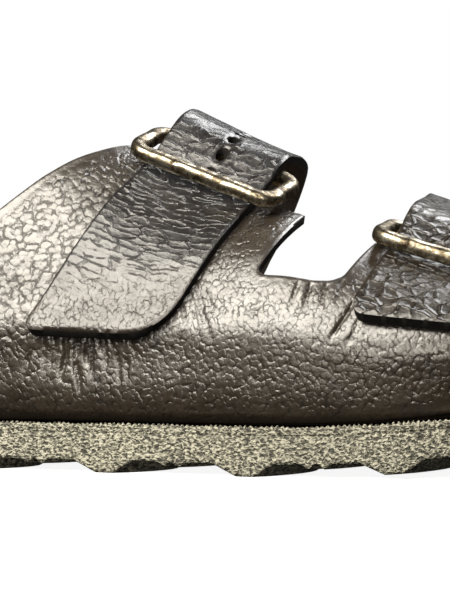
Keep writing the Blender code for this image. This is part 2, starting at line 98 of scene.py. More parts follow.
# Rows of the sole's wall: at its foot, up its pitted side, and over its beaded top edge to the ledge
FOOT_ROWS = table("out up", (-1.1, 0.0), (-0.45, 0.03), (-0.05, 0.4))
TOP_ROWS = table(
    "out bead_out below bead_up",
    (-0.12, 0, 1.9, 0), (0.06, 0, 1.65, 0), (0.12, 0, 1.1, 0), (0.10, 0.25, 0.55, 0), (0.02, 0.35, 0.2, 0.4),
    (-0.4, 0, 0.15, 1), (-1.0, 0, 0.2, 0.8), (-1.6, 0, 0.3, 0), (-4.0, 0, 0.25, 0), (-8.6, 0, 0.25, 0),
)
SIDE_SHARES = np.linspace(0.08, 1.0, 11)
SIDE_FOOT = 0.4
SIDE_TOP = 2.1
SIDE_OUT = 0.10
PIT_DEPTH = 0.14
PIT_STRETCH = 1.3
FINE_PIT = 0.6
PIT_FADE = (0.05, 0.2)
SOLE_ANGLE = 60

# Last: its sections lean to the toe as the straps do. A station is where a section meets the floor.
# A girth is a share of the way round it: 0 at the crest, -1 at the outer and 1 at the inner feather line.
LEAN = 0.6
BULGE_HEIGHT = 28.0
BULGE_INSET = 3.2
FEATHER_INSET = 7.0
SECTION_STEPS = 48
FULLNESS = 2.45
CRESTS = table(
    "station height offset",
    (-140, 112.0, 0.0), (-100, 100.0, 0.0), (-75, 91.0, 1.0), (-47, 81.0, 2.0), (-9, 67.5, 4.0),
    (30, 57.5, 7.0), (65, 47.0, 9.0), (100, 37.0, 10.0), (140, 30.0, 10.0),
)

# Top lines of the quarters, as stations and heights
LATERAL_REAR_TOP = table(
    "station height",
    (-105, 16.5), (-99, 24.5), (-92, 34.5), (-84, 46.5), (-78, 54.5), (-72, 62.5),
)
LATERAL_NOTCH = table(
    "station height",
    (6.8, 47.2), (8.0, 46.0), (10.0, 45.6), (15.0, 45.2), (22.0, 44.3), (26.0, 44.4), (28.0, 45.4),
)
MEDIAL_REAR_TOP = table(
    "station height",
    (-98, 17.0), (-91, 25.0), (-82, 36.0), (-72, 47.0), (-62, 57.5), (-53, 66.0), (-48, 69.0),
)
MEDIAL_NOTCH = table(
    "station height",
    (-7.0, 45.0), (-3.5, 42.0), (3.0, 41.0), (17.0, 40.0), (25.0, 40.5), (28.5, 42.5),
)
MEDIAL_FRONT_TOP = table("station height", (66.5, 36.0), (69.0, 29.0), (74.0, 19.5))

# Rims of the outer quarter's two arms, as stations and girths
REAR_RIM = table(
    "station girth",
    (-66, -0.365), (-62, -0.305), (-57, -0.25), (-52, -0.20), (-46, -0.19), (-40, -0.22),
    (-20, -0.25), (-5, -0.295), (6.6, -0.335),
)
FRONT_RIM = table(
    "station girth",
    (28.3, -0.42), (32, -0.43), (38, -0.475), (45, -0.525), (73, -0.60),
)

# Buckles: stations and girths of the front bar's ends, lifts of the front and back bars above the last
REAR_BUCKLE, FRONT_BUCKLE = table(
    "start end start_girth end_girth front_lift back_lift",
    (-46.3, -1.3, -0.2776, -0.3885, 7.6, 7.6),
    (29.4, 74.4, -0.4885, -0.6625, 7.4, 5.8),
)
BUCKLE_LENGTH = 42.4
BUCKLE_DEPTH = 20.0
BUCKLE_WIRE = 4.0
BUCKLE_CORNER = 4.0
BUCKLE_GIRTH_SPAN = 0.20
BUCKLE_PITCH = 0.5
BUCKLE_CORNER_STEPS = 13
# Sections: half width across the bar and out of it, the superellipse's power, points round it
BAR_SECTION = (BUCKLE_WIRE / 2, 1.95, 2.4, 28)
BAR_DENTS = 0.05
DENT_SIZE = 2.4
DENT_TURN = 14

# Lift of a strap's inner face above the last, by girth past the buckle's front bar
LYING = LEATHER + 0.1
REAR_LIFTS = table(
    "past_bar height",
    (-0.74, LYING), (-0.16, LYING), (0.0, 2.9), (0.03, 3.6), (0.08, 6.8), (0.13, 10.5),
    (0.165, 11.2), (0.22, 10.7), (0.35, 9.7), (0.565, 5.5), (0.735, 1.5), (0.865, 0.0), (1.7, 0.0),
)
FRONT_LIFTS = table(
    "past_bar height",
    (-0.50, LYING), (-0.14, LYING), (0.0, 2.5), (0.04, 3.0), (0.09, 5.8), (0.15, 8.9), (0.19, 9.5),
    (0.25, 9.4), (0.35, 9.5), (0.50, 10.4), (0.70, 7.5), (0.90, 3.0), (1.05, 0.5), (1.15, 0.0),
    (1.7, 0.0),
)

# How far a strap runs to the toe of its stations, by girth
REAR_SLIDES = table(
    "girth along",
    (-0.75, 0.8), (-0.40, 0.5), (-0.24, 2.6), (0.05, 2.6), (0.45, 0.0),
)
FRONT_SLIDES = table("girth along", (-0.75, 4.5), (0.0, 0.0))

# Straps: stations, junction with the inner quarter, tip's height, its fall to the toe and corner radii, holes
STRAPS = table(
    "name start end start_height end_height tip_height tip_fall start_corner end_corner"
    " hole_station hole_past_bar buckle lifts slides",
    ("rear", -44.5, -8.0, 70.0, 48.0, 33.9, 1.5, 3.5, 7.5, -26.6, 4.3)
    + (REAR_BUCKLE, REAR_LIFTS, REAR_SLIDES),
    ("front", 31.0, 66.5, 44.5, 40.0, 36.9, 3.0, 4.5, 4.5, 51.0, 3.6)
    + (FRONT_BUCKLE, FRONT_LIFTS, FRONT_SLIDES),
)
NOTCH_MIDDLE = 10.0

# Tips of the straps: how far they flare off the quarter, and how far their cut edges slant
TIP_FLARE = 1.8
TIP_FLARE_SPAN = 0.12
TIP_SLANT = 1.3
SLANT_WIDTH = 1.6

# Prongs and the row of holes they fit
PRONG_WIRE = 1.6
PRONG_SECTION = (PRONG_WIRE / 2, PRONG_WIRE / 2, 2, 16)
PRONG_DENTS = 0.03
PRONG_POINTS = 60
PRONG_END = 0.55
PRONG_HOOK_ANGLES = (-10, -40, -70, -100, -130)
PRONG_RUN = ((-1.2, -3.6), (-4.0, -4.3), (-4.8, -3.7), (-5.0, -2.2), (-5.05, 0.0))
HOLE_DIAMETER = 2.7
HOLE_PITCH = 4.0
HOLE_COUNT = 5
HOLE_SIDES = 40

# Footbed: heights of its top above the sole, at its middle and at its two rims
BEDS = table(
    "from_heel centre lateral medial",
    (0, 14.0, 21.0, 21.0), (40, 12.0, 21.0, 22.0), (100, 13.0, 17.5, 24.0), (150, 12.0, 15.0, 18.0),
    (200, 10.0, 13.0, 13.0), (245, 10.0, 13.5, 13.5), (281, 12.0, 14.0, 14.0),
)
BED_GAP = 1.6
BED_DISH = 3.0
BED_STATIONS = 150
BED_ROWS = 40
BED_SIDE_ROWS = 14
BED_END_TURN = 0.05
BED_END_FILL = 1.5
BED_TOP_ROUND = 1.6
# Rows at the foot of the footbed's side that take the near-black painted shade
PAINTED_SHADE_ROWS = 3
BED_END_DISH = 0.35
BED_ANGLE = 50
CORK_ROUGH = 0.12
SIDES_APART = 40
SUEDE_WAVE = 0.06

# Creases of the outer quarter: ends as x and z on the shoe's side, depth and width
QUARTER_CREASES = table(
    "x0 z0 x1 z1 depth width",
    (-20.5, 31.5, -25.0, 22.0, 0.26, 0.60), (-18.2, 30.5, -19.4, 22.0, 0.28, 0.55),
    (-15.8, 33.0, -18.0, 24.0, 0.36, 0.55), (-12.2, 33.8, -14.6, 21.5, 0.80, 0.60),
    (-10.6, 33.8, -10.6, 25.5, 0.76, 0.50), (-10.6, 26.0, -9.0, 18.0, 0.62, 0.60),
    (-9.2, 33.8, -9.4, 27.0, 0.62, 0.42), (-7.8, 33.6, -7.4, 24.0, 0.74, 0.50),
    (-6.2, 33.4, -6.8, 20.5, 0.68, 0.45), (-4.5, 33.2, -3.8, 27.5, 0.62, 0.48),
    (-2.9, 33.0, -2.4, 24.5, 0.58, 0.48), (-1.4, 33.0, -0.6, 28.5, 0.50, 0.45),
    (0.6, 28.0, 1.4, 20.0, 0.34, 0.55), (2.8, 27.5, 3.6, 21.0, 0.30, 0.50),
    (4.2, 32.6, 6.0, 26.5, 0.24, 0.50), (15.8, 41.0, 19.0, 34.5, 0.30, 0.50),
    (17.6, 44.0, 22.6, 33.0, 0.36, 0.55), (19.6, 44.5, 25.4, 31.0, 0.40, 0.60),
    (21.8, 43.0, 26.6, 36.5, 0.32, 0.45), (33.5, 38.5, 39.5, 36.0, 0.26, 0.50),
    (45.2, 45.5, 44.0, 38.5, 0.34, 0.50), (49.0, 46.0, 46.6, 37.0, 0.42, 0.50),
    (52.6, 46.0, 50.6, 38.5, 0.38, 0.48), (55.4, 46.0, 54.6, 40.0, 0.34, 0.48),
    (58.2, 39.4, 53.4, 31.0, 0.50, 0.55), (60.2, 36.0, 57.0, 29.5, 0.30, 0.55),
)

# Outer quarter's broad shape: the roll where it turns in over the foot, swells and dips beside it
ROLL_LINE = table("x z", (-90, 34.0), (20, 34.0), (55, 32.0), (95, 28.5))
ROLL_WIDTH = 6.0
ROLL_RISE = 1.0
SWELLS = table(
    "x z half_x half_z rise",
    (-4.0, 27.0, 18.0, 6.0, -0.85), (14.0, 36.0, 6.0, 8.0, -0.35), (38.0, 40.0, 14.0, 7.0, 0.40),
    (66.0, 33.0, 16.0, 5.0, -0.30), (-32.0, 44.0, 14.0, 12.0, 0.35), (42.0, 51.0, 15.0, 10.0, 2.2),
    (6.0, 65.0, 14.5, 12.5, -1.8),
)
RELIEF_START = (14.5, 20.0)
SWELL_END = -0.04
SWELL_FADE = 0.2

# How creases spread and wander, and where they fade, as shares of their lengths
CREASE_SPREAD = 0.95
CREASE_GAIN = 1.35
CREASE_WANDER = 0.35
CREASE_WANDER_SIZE = 2.6
CREASE_START = (-0.12, 0.05)
CREASE_END = (0.55, 1.05)

# Cut edges and grain of the leather
EDGE_ROUND = 0.35
EDGE_ANGLE = 55
GRAIN_FADE = 1.6
BARE_START = 0.3
QUARTER_BARE = 3.2
STRAP_BARE = 1.0
FINE_LOSS = 0.5
NET_GAIN = 1.4
FOLD_CALM = 0.65
FOLD_CALM_SPAN = 0.06

# Shapes of pebbles, and heights of the grain's patterns
CELL_MARGIN = 0.1
PEBBLE_WANDER = 0.5
PEBBLE_WANDER_SIZE = 2.2
TROUGH_SHARE = 0.7
SLOPE_SHARE = 0.3
SLOPE_REACH = 1.6
QUARTER_PEBBLE = 0.07
QUARTER_WAVE = 0.08
QUARTER_RIPPLE = 0.04
STRAP_FOLD = 0.10
STRAP_WAVE = 0.09

# Where the kinds of grain change over, as places, heights and girths
QUARTER_FINE_X = (-12, 14)
QUARTER_FINE_Z = (34, 22)
STRAP_GRAIN_END = (0.45, 0.15)
TIP_GRAIN_Z = (52, 40)
TIP_FOLD_LOSS = 0.85

# Steps of the meshes
LATTICE_STEP = 1.5
LATTICE_GIRTHS = 161
LATTICE_REACH = 150.0
QUARTER_PITCH = 0.45
STRAP_PITCH = 0.62
OUTLINE_PITCH = 0.05
MERGE_DISTANCE = 0.001
QUARTER_SMOOTHING = 0.9
STRAP_SMOOTHING = 0.45
LINE_POINTS = 60
FRONT_RIM_POINTS = 40
CORNER_POINTS = 12


def smooth(at, knots, values):
    """Cubic through a table's rows, with the slope at each row taken from its neighbours."""
    knots = np.asarray(knots, float)
    values = np.asarray(values, float)
    slopes = np.gradient(values, knots)
    at = np.clip(at, knots[0], knots[-1])
    row = np.clip(np.searchsorted(knots, at) - 1, 0, len(knots) - 2)
    step = knots[row + 1] - knots[row]
    t = (at - knots[row]) / step
    start = values[row] * (1 + 2 * t) * (1 - t) ** 2 + slopes[row] * step * t * (1 - t) ** 2
    end = values[row + 1] * t * t * (3 - 2 * t) + slopes[row + 1] * step * t * t * (t - 1)
    return start + end


def ease(low, high, value):
    """0 below low, 1 above high, and smooth between."""
    t = np.clip((value - low) / (high - low), 0, 1)
    return t * t * (3 - 2 * t)


def column_of(rows, name):
    return [getattr(row, name) for row in rows]


def curve(rows, at, name):
    """Smooth value of a table's named column, at values of its first column."""
    first = rows[0]._fields[0]
    return smooth(at, column_of(rows, first), column_of(rows, name))


def end_round(along):
    """1 at mid length, falling to 0 at both ends as a circle does."""
    return 2 * np.sqrt(np.clip(along * (1 - along), 0, None))


def spine(x):
    bend = np.clip((x + HALF_LENGTH) / LENGTH - 0.5, 0, 0.5) / 0.5
    return TOE_SHIFT * bend**2


def half_width(x, side, inset=0.0):
    """Half width of the footprint on one side of the spine, drawn in by inset all round."""
    along = (x + HALF_LENGTH - inset) / (LENGTH - 2 * inset)
    name = "lateral" if side == LATERAL else "medial"
    knots = np.array(column_of(WIDTHS, "from_heel")) / LENGTH
    fullness = np.array(column_of(WIDTHS, name)) / end_round(knots)
    knots = np.concatenate([[0.0], knots, [1.0]])
    ends = [math.sqrt(radius * LENGTH / 2) for radius in (HEEL_RADIUS, TOE_RADIUS)]
    fullness = np.concatenate([[ends[0]], fullness, [ends[1]]])
    along = np.clip(along, 0, 1)
    return end_round(along) * (smooth(along, knots, fullness) - inset)


def outline(x, side, inset=0.0):
    return spine(x) + side * half_width(x, side, inset) - MIDDLE_Y


def footprint_middle():
    x = np.linspace(-HALF_LENGTH, HALF_LENGTH, OUTLINE_STEPS)
    lowest = (spine(x) - half_width(x, LATERAL)).min()
    highest = (spine(x) + half_width(x, MEDIAL)).max()
    return (lowest + highest) / 2


MIDDLE_Y = footprint_middle()


def rise(x):
    """How far the sole's underside lifts at the toe and at the back of the heel."""
    toe = np.clip(x - TOE_SPRING_START, 0, None) ** 2 / (2 * TOE_SPRING_RADIUS)
    heel = np.clip(HEEL_LIFT_START - x, 0, None) ** 2 / (2 * HEEL_LIFT_RADIUS)
    return toe + heel


def sole_top(x):
    return SOLE_THICKNESS + rise(x)


def section_side(station, side):
    """One side of a section of the last, from the feather line up to the crest, as y and z."""
    height = curve(CRESTS, station, "height")
    offset = curve(CRESTS, station, "offset")
    bulge_x = station + LEAN * BULGE_HEIGHT
    feather_x = station + LEAN * SOLE_THICKNESS
    feather_z = sole_top(feather_x) + LEATHER + GAP
    bulge_z = BULGE_HEIGHT + rise(bulge_x)
    crest_y = spine(bulge_x) + offset - MIDDLE_Y
    bulge_reach = abs(outline(bulge_x, side, BULGE_INSET) - crest_y)
    feather_reach = abs(outline(feather_x, side, FEATHER_INSET) - crest_y)
    turn = np.linspace(0, math.pi / 2, SECTION_STEPS)
    low_reach = feather_reach + (bulge_reach - feather_reach) * np.sin(turn)
    low_z = bulge_z - (bulge_z - feather_z) * np.cos(turn)
    high_reach = bulge_reach * np.cos(turn) ** (2 / FULLNESS)
    high_z = bulge_z + (height - bulge_z) * np.sin(turn) ** (2 / FULLNESS)
    reach = np.concatenate([low_reach, high_reach[1:]])
    z = np.concatenate([low_z, high_z[1:]])
    return crest_y + side * reach, z


def run_along(*columns):
    """Length of a line up to each of its points, from the columns of their coordinates."""
    steps = np.diff(np.stack(columns), axis=1)
    return np.concatenate([[0.0], np.cumsum(np.linalg.norm(steps, axis=0))])


def girth_at_height(station, side, height):
    y, z = section_side(station, side)
    run = run_along(y, z)
    return side * (1 - np.interp(height, z, run / run[-1]))


def last_rows():
    """The last on a lattice of stations and girths, two past each feather line, and its sides' lengths."""
    girths = np.linspace(-1, 1, LATTICE_GIRTHS)
    rows, sides = [], []
    for station in STATIONS:
        points = np.empty((LATTICE_GIRTHS, 3))
        runs = []
        for side in (LATERAL, MEDIAL):
            y, z = section_side(station, side)
            run = run_along(y, z)
            runs.append(run[-1])
            here = girths < 0 if side == LATERAL else girths >= 0
            share = 1 - np.abs(girths[here])
            points[here, 1] = np.interp(share, run / run[-1], y)
            points[here, 2] = np.interp(share, run / run[-1], z)
        points[:, 0] = station + LEAN * points[:, 2]
        before = 2 * points[0] - points[2:0:-1]
        after = 2 * points[-1] - points[-2:-4:-1]
        rows.append(np.concatenate([before, points, after]))
        sides.append(runs)
    return np.array(rows), np.array(sides)


STATIONS = np.arange(-LATTICE_REACH, LATTICE_REACH + LATTICE_STEP / 2, LATTICE_STEP)
LAST, SIDE_LENGTHS = last_rows()
LAST_NORMALS = np.cross(np.gradient(LAST, axis=0), np.gradient(LAST, axis=1))
LAST_NORMALS /= np.linalg.norm(LAST_NORMALS, axis=2)[:, :, None]


def cubic_weights(t):
    """Weights of four neighbours for a smooth value between the middle two."""
    before = -t * (1 - t) ** 2 / 2
    near = (2 - 5 * t**2 + 3 * t**3) / 2
    far = (t + 4 * t**2 - 3 * t**3) / 2
    after = t**2 * (t - 1) / 2
    return before, near, far, after


def sampled(field, station, girth):
    """Value of a lattice field at stations and girths."""
    a = (np.asarray(station, float) - STATIONS[0]) / LATTICE_STEP
    b = (np.asarray(girth, float) + 1) * (LATTICE_GIRTHS - 1) / 2 + 2
    i = np.clip(np.floor(a).astype(int), 1, field.shape[0] - 3)
    j = np.clip(np.floor(b).astype(int), 1, field.shape[1] - 3)
    total = 0.0
    for p, weight_a in enumerate(cubic_weights(a - i)):
        for q, weight_b in enumerate(cubic_weights(b - j)):
            total = total + (weight_a * weight_b)[..., None] * field[i + p - 1, j + q - 1]
    return total


def on_last(station, girth, lift=0.0):
    normal = sampled(LAST_NORMALS, station, girth)
    normal /= np.linalg.norm(normal, axis=-1)[..., None]
    return sampled(LAST, station, girth) + normal * np.asarray(lift)[..., None], normal


def side_length(station, side):
    return np.interp(station, STATIONS, SIDE_LENGTHS[:, 0 if side == LATERAL else 1])


def flattened(station, girth):
    """Place on the leather laid flat: along the shoe, and round it from the crest, outer side negative."""
    outer = np.asarray(girth) < 0
    length = np.where(outer, side_length(station, LATERAL), side_length(station, MEDIAL))
    return np.stack([sampled(LAST, station, girth)[..., 0], girth * length], -1)


def by_strap(station):
    """Each strap, with which of the stations are its own."""
    rear = station < NOTCH_MIDDLE
    return zip(STRAPS, (rear, ~rear))


def bar_girth(strap, station):
    buckle = strap.buckle
    return np.interp(station, (buckle.start, buckle.end), (buckle.start_girth, buckle.end_girth))


def strap_lift(strap, station, girth):
    past = girth - bar_girth(strap, station)
    return np.clip(curve(strap.lifts, past, "height"), 0, None)


# Seeded patterns


def hashed(i, j, seed):
    """Repeatable number from 0 to 1 for each whole-number place."""
    n = (i * 374761393 + j * 668265263 + seed * 974711) & 0xFFFFFFFF
    n = ((n ^ (n >> 13)) * 1274126177) & 0xFFFFFFFF
    return ((n ^ (n >> 16)) & 0xFFFFFF) / 0xFFFFFF


def noise(x, y, size, seed):
    """Smooth hills and hollows of one size, from -1 to 1."""
    a, b = x / size, y / size
    i, j = np.floor(a).astype(np.int64), np.floor(b).astype(np.int64)
    s, t = a - i, b - j
    s, t = s * s * (3 - 2 * s), t * t * (3 - 2 * t)
    low = hashed(i, j, seed) * (1 - s) + hashed(i + 1, j, seed) * s
    high = hashed(i, j + 1, seed) * (1 - s) + hashed(i + 1, j + 1, seed) * s
    return 2 * (low * (1 - t) + high * t) - 1


def cell_gap(x, y, seed):
    """0 on the borders between scattered cells of unit size, growing to their middles."""
    i, j = np.floor(x).astype(np.int64), np.floor(y).astype(np.int64)
    free = 1 - 2 * CELL_MARGIN
    near = np.full(np.shape(x), np.inf)
    second = near.copy()
    for di in (-1, 0, 1):
        for dj in (-1, 0, 1):
            px = i + di + CELL_MARGIN + free * hashed(i + di, j + dj, seed)
            py = j + dj + CELL_MARGIN + free * hashed(i + di, j + dj, seed + 77)
            distance = np.hypot(x - px, y - py)
            second = np.minimum(second, np.maximum(near, distance))
            near = np.minimum(near, distance)
    return second - near


def pebbles(x, y, length, width, turn, seed, border=0.22):
    """Grain of domed cells with troughs between them: 0 at a dome, -1 in a trough."""
    wander = PEBBLE_WANDER * width
    x = x + wander * noise(x, y, PEBBLE_WANDER_SIZE * width, seed + 5)
    y = y + wander * noise(x, y, PEBBLE_WANDER_SIZE * width, seed + 6)
    turn = math.radians(turn)
    along = (x * math.cos(turn) + y * math.sin(turn)) / length
    across = (y * math.cos(turn) - x * math.sin(turn)) / width
    gap = cell_gap(along, across, seed)
    slope = np.clip(1 - SLOPE_REACH * gap, 0, 1)
    return -TROUGH_SHARE * np.exp(-((gap / border) ** 2)) - SLOPE_SHARE * slope


def troughs(creases, x, z):
    """Sum of soft troughs along given lines, fading to their far ends."""
    total = np.zeros(np.shape(x))
    for crease in creases:
        dx, dz = crease.x1 - crease.x0, crease.z1 - crease.z0
        length = math.hypot(dx, dz)
        along = ((x - crease.x0) * dx + (z - crease.z0) * dz) / length
        across = ((x - crease.x0) * dz - (z - crease.z0) * dx) / length
        seed = int(abs(crease.x0 * 10))
        across = across + CREASE_WANDER * noise(along, 0 * along, CREASE_WANDER_SIZE, seed)
        share = along / length
        fade = ease(*CREASE_START, share) * (1 - ease(*CREASE_END, share))
        width = CREASE_SPREAD * crease.width
        total -= CREASE_GAIN * crease.depth * fade * np.exp(-((across / width) ** 2))
    return total


def relief(place):
    """Broad swells of the outer quarter, which its straps follow."""
    x, z = place[:, 0], place[:, 2]
    roll = curve(ROLL_LINE, x, "z")
    height = ROLL_RISE * np.exp(-(((z - roll) / ROLL_WIDTH) ** 2))
    for swell in SWELLS:
        a, b = (x - swell.x) / swell.half_x, (z - swell.z) / swell.half_z
        height = height + swell.rise * np.exp(-(a**2) - b**2)
    return height * ease(*RELIEF_START, z)


# Leather sheets


def dense_loop(points, smoothing):
    """Closed outline of stations and girths with points close together and its corners rounded a little."""
    points = np.array(points, float)
    closed = np.concatenate([points, points[:1]])
    flat = flattened(closed[:, 0], closed[:, 1])
    run = run_along(*flat.T)
    at = np.arange(0, run[-1], OUTLINE_PITCH)
    loop = np.stack([np.interp(at, run, closed[:, k]) for k in (0, 1)], -1)
    reach = int(smoothing / OUTLINE_PITCH)
    return sum(np.roll(loop, shift, axis=0) for shift in range(-reach, reach + 1)) / (2 * reach + 1)


def hole_loop(station, girth):
    """Round hole in the leather."""
    step = 0.01
    here = flattened(station, girth)
    by_station = (flattened(station + step, girth) - here) / step
    by_girth = (flattened(station, girth + step) - here) / step
    turn = np.linspace(0, 2 * math.pi, HOLE_SIDES, endpoint=False)
    circle = HOLE_DIAMETER / 2 * np.stack([np.cos(turn), np.sin(turn)])
    offsets = np.linalg.solve(np.stack([by_station, by_girth], -1), circle)
    return np.stack([station + offsets[0], girth + offsets[1]], -1)


def kept_cells(loops, stations, girths):
    """Which cells of a lattice lie inside outlines, row by row."""
    middles = (stations[:-1] + stations[1:]) / 2
    kept = np.zeros((len(stations) - 1, len(girths) - 1), bool)
    for j, girth in enumerate((girths[:-1] + girths[1:]) / 2):
        crossings = []
        for loop in loops:
            ahead = np.roll(loop, -1, axis=0)
            crossed = (loop[:, 1] <= girth) != (ahead[:, 1] <= girth)
            near, far = loop[crossed], ahead[crossed]
            share = (girth - near[:, 1]) / (far[:, 1] - near[:, 1])
            crossings.append(near[:, 0] + share * (far[:, 0] - near[:, 0]))
        before = np.sort(np.concatenate(crossings))
        kept[:, j] = np.searchsorted(before, middles) % 2 == 1
    return kept


def boundary_edges(kept, index):
    """Edges of kept cells that no other kept cell shares, each in the order its own cell goes round."""
    padded = np.pad(kept, 1)
    centre = padded[1:-1, 1:-1]
    sides = (
        (padded[1:-1, :-2], index[:-1, :-1], index[1:, :-1]),
        (padded[2:, 1:-1], index[1:, :-1], index[1:, 1:]),
        (padded[1:-1, 2:], index[1:, 1:], index[:-1, 1:]),
        (padded[:-2, 1:-1], index[:-1, 1:], index[:-1, :-1]),
    )
    return np.concatenate([np.stack([a[centre & ~n], b[centre & ~n]], -1) for n, a, b in sides])


def leather_sheet(name, loops, pitch, lift_at, slant_at, grain_at, zone_at, bare_edge, materials):
    """Leather cut to outlines, laid over the last: a grained face, a plain back and a rounded cut edge."""
    outer = loops[0]
    girth_pitch = pitch / np.mean(SIDE_LENGTHS)
    stations = np.arange(outer[:, 0].min() - pitch, outer[:, 0].max() + 2 * pitch, pitch)
    girths = np.arange(outer[:, 1].min() - girth_pitch, outer[:, 1].max() + 2 * girth_pitch, girth_pitch)
    kept = kept_cells(loops, stations, girths)
    index = np.arange(len(stations) * len(girths)).reshape(len(stations), len(girths))
    quads = np.stack([index[:-1, :-1], index[1:, :-1], index[1:, 1:], index[:-1, 1:]], -1)[kept]
    edges = boundary_edges(kept, index)
    used = np.unique(quads)
    renumber = np.zeros(index.size, int)
    renumber[used] = np.arange(len(used))
    quads, edges = renumber[quads], renumber[edges]
    station = np.repeat(stations, len(girths))[used]
    girth = np.clip(np.tile(girths, len(stations))[used], -1, 1)

    rim = np.concatenate(loops)
    tree = kdtree.KDTree(len(rim))
    for k, (a, b) in enumerate(flattened(rim[:, 0], rim[:, 1])):
        tree.insert((a, b, 0), k)
    tree.balance()
    for vert in np.unique(edges):
        a, b = flattened(station[vert], girth[vert])
        station[vert], girth[vert] = rim[tree.find((a, b, 0))[1]]
    flat = flattened(station, girth)
    from_edge = np.array([tree.find((a, b, 0))[2] for a, b in flat])

    place, normal = on_last(station, girth)
    lift = lift_at(station, girth)
    inside = np.clip(EDGE_ROUND - from_edge, 0, EDGE_ROUND)
    dip = EDGE_ROUND - np.sqrt(EDGE_ROUND**2 - inside**2)
    grain = grain_at(flat, place, station, girth) * ease(0.0, GRAIN_FADE, from_edge)
    back = place + normal * lift[:, None]
    face = back + normal * (LEATHER + grain - dip)[:, None]
    back[:, 2] -= slant_at(station, girth) * ease(SLANT_WIDTH, 0.0, from_edge)

    count = len(used)
    rims = np.stack([edges[:, 1], edges[:, 0], edges[:, 0] + count, edges[:, 1] + count], -1)
    faces = np.concatenate([quads, quads[:, ::-1] + count, rims])
    slots = np.repeat((0, 2, 1), (len(quads), len(quads), len(rims)))
    piece = mesh_piece(name, np.concatenate([face, back]), faces.tolist(), materials, slots)
    sharpen(piece, EDGE_ANGLE)
    zone = np.array(zone_at(place, station, girth))
    strength = ease(BARE_START * bare_edge, bare_edge, from_edge)
    strength = strength * (1 - FINE_LOSS * zone[2] + NET_GAIN * zone[1])
    add_attribute(piece, "flat", "FLOAT_VECTOR", "vector", np.column_stack([flat, np.zeros(count)]))
    add_attribute(piece, "zone", "FLOAT_COLOR", "color", np.column_stack([*zone, strength]))
    merge_doubles(piece)
    return piece


def merge_doubles(piece):
    """Joins points that fall together, so no face is left without area."""
    shape = bmesh.new()
    shape.from_mesh(piece.data)
    bmesh.ops.remove_doubles(shape, verts=shape.verts, dist=MERGE_DISTANCE * MM)
    shape.to_mesh(piece.data)
    shape.free()


def add_attribute(piece, name, kind, field, values):
    """Values for the grain shader, the same on a sheet's face and on its back."""
    attribute = piece.data.attributes.new(name, kind, "POINT")
    attribute.data.foreach_set(field, np.concatenate([values, values]).astype(np.float32).ravel())


def mesh_piece(name, points, faces, materials, slots=None):
    """Smooth-shaded object from points in millimetres."""
    mesh = bpy.data.meshes.new(name)
    mesh.from_pydata((np.asarray(points) * MM).tolist(), [], list(faces))
    for material in materials:
        mesh.materials.append(material)
    if slots is not None:
        mesh.polygons.foreach_set("material_index", np.asarray(slots, np.int32))
    mesh.shade_smooth()
    mesh.validate()
    piece = bpy.data.objects.new(name, mesh)
    bpy.context.scene.collection.objects.link(piece)
    return piece


def sharpen(piece, degrees):
    piece.data.set_sharp_from_angle(angle=math.radians(degrees))


def place_piece(piece, slot, *nodes):
    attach(piece, "root")
    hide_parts(*nodes)


def heights_line(rows, side):
    return [(row.station, girth_at_height(row.station, side, row.height)) for row in rows]


def rim_line(rows, count):
    stations = np.linspace(rows[0].station, rows[-1].station, count)
    return list(zip(stations, curve(rows, stations, "girth")))


def lower_edge(girth, start, end):
    return [(station, girth) for station in np.linspace(start, end, LINE_POINTS)]


def outer_quarter_loop():
    """Outer quarter with its two arms, and the notch between them."""
    loop = heights_line(LATERAL_REAR_TOP, LATERAL) + rim_line(REAR_RIM, LINE_POINTS)
    loop += heights_line(LATERAL_NOTCH, LATERAL) + rim_line(FRONT_RIM, FRONT_RIM_POINTS)
    loop += lower_edge(-1.0, FRONT_RIM[-1].station, LATERAL_REAR_TOP[0].station)
    return dense_loop(loop, QUARTER_SMOOTHING)


def tip_girth(strap, station):
    share = (station - strap.start) / (strap.end - strap.start)
    return girth_at_height(station, LATERAL, strap.tip_height - strap.tip_fall * share)


def slide_of(strap, girth):
    return np.interp(girth, column_of(strap.slides, "girth"), column_of(strap.slides, "along"))


def strap_loop(strap):
    """Outline of a strap from its rear junction with the inner quarter, round its tip, to the front one."""
    rear = girth_at_height(strap.start, MEDIAL, strap.start_height)
    front = girth_at_height(strap.end, MEDIAL, strap.end_height)
    length = float(side_length(strap.start, LATERAL))
    tip_slide = strap.slides[0].along

    def half(station, way, radius, top):
        """One long edge and its rounded corner at the tip."""
        turns = np.linspace(0, math.pi / 2, CORNER_POINTS)
        stations = [station + way * radius * (1 - math.cos(turn)) for turn in turns]
        tips = [tip_girth(strap, at + tip_slide) for at in stations]
        edge = [(station, girth) for girth in np.linspace(top, tips[0] + radius / length, LINE_POINTS)]
        bends = [radius / length * (1 - math.sin(turn)) for turn in turns]
        return edge + [(at, tip + bend) for at, tip, bend in zip(stations, tips, bends)]

    line = half(strap.start, 1, strap.start_corner, rear)
    line += half(strap.end, -1, strap.end_corner, front)[::-1]
    return [(station + slide_of(strap, girth), girth) for station, girth in line]


def inner_quarter_loop():
    """Inner quarter and the two straps that run from it over the foot."""
    rear, front = STRAPS
    loop = heights_line(MEDIAL_REAR_TOP, MEDIAL) + strap_loop(rear) + heights_line(MEDIAL_NOTCH, MEDIAL)
    loop += strap_loop(front) + heights_line(MEDIAL_FRONT_TOP, MEDIAL)
    loop += lower_edge(1.0, MEDIAL_FRONT_TOP[-1].station, MEDIAL_REAR_TOP[0].station)
    return dense_loop(loop, STRAP_SMOOTHING)


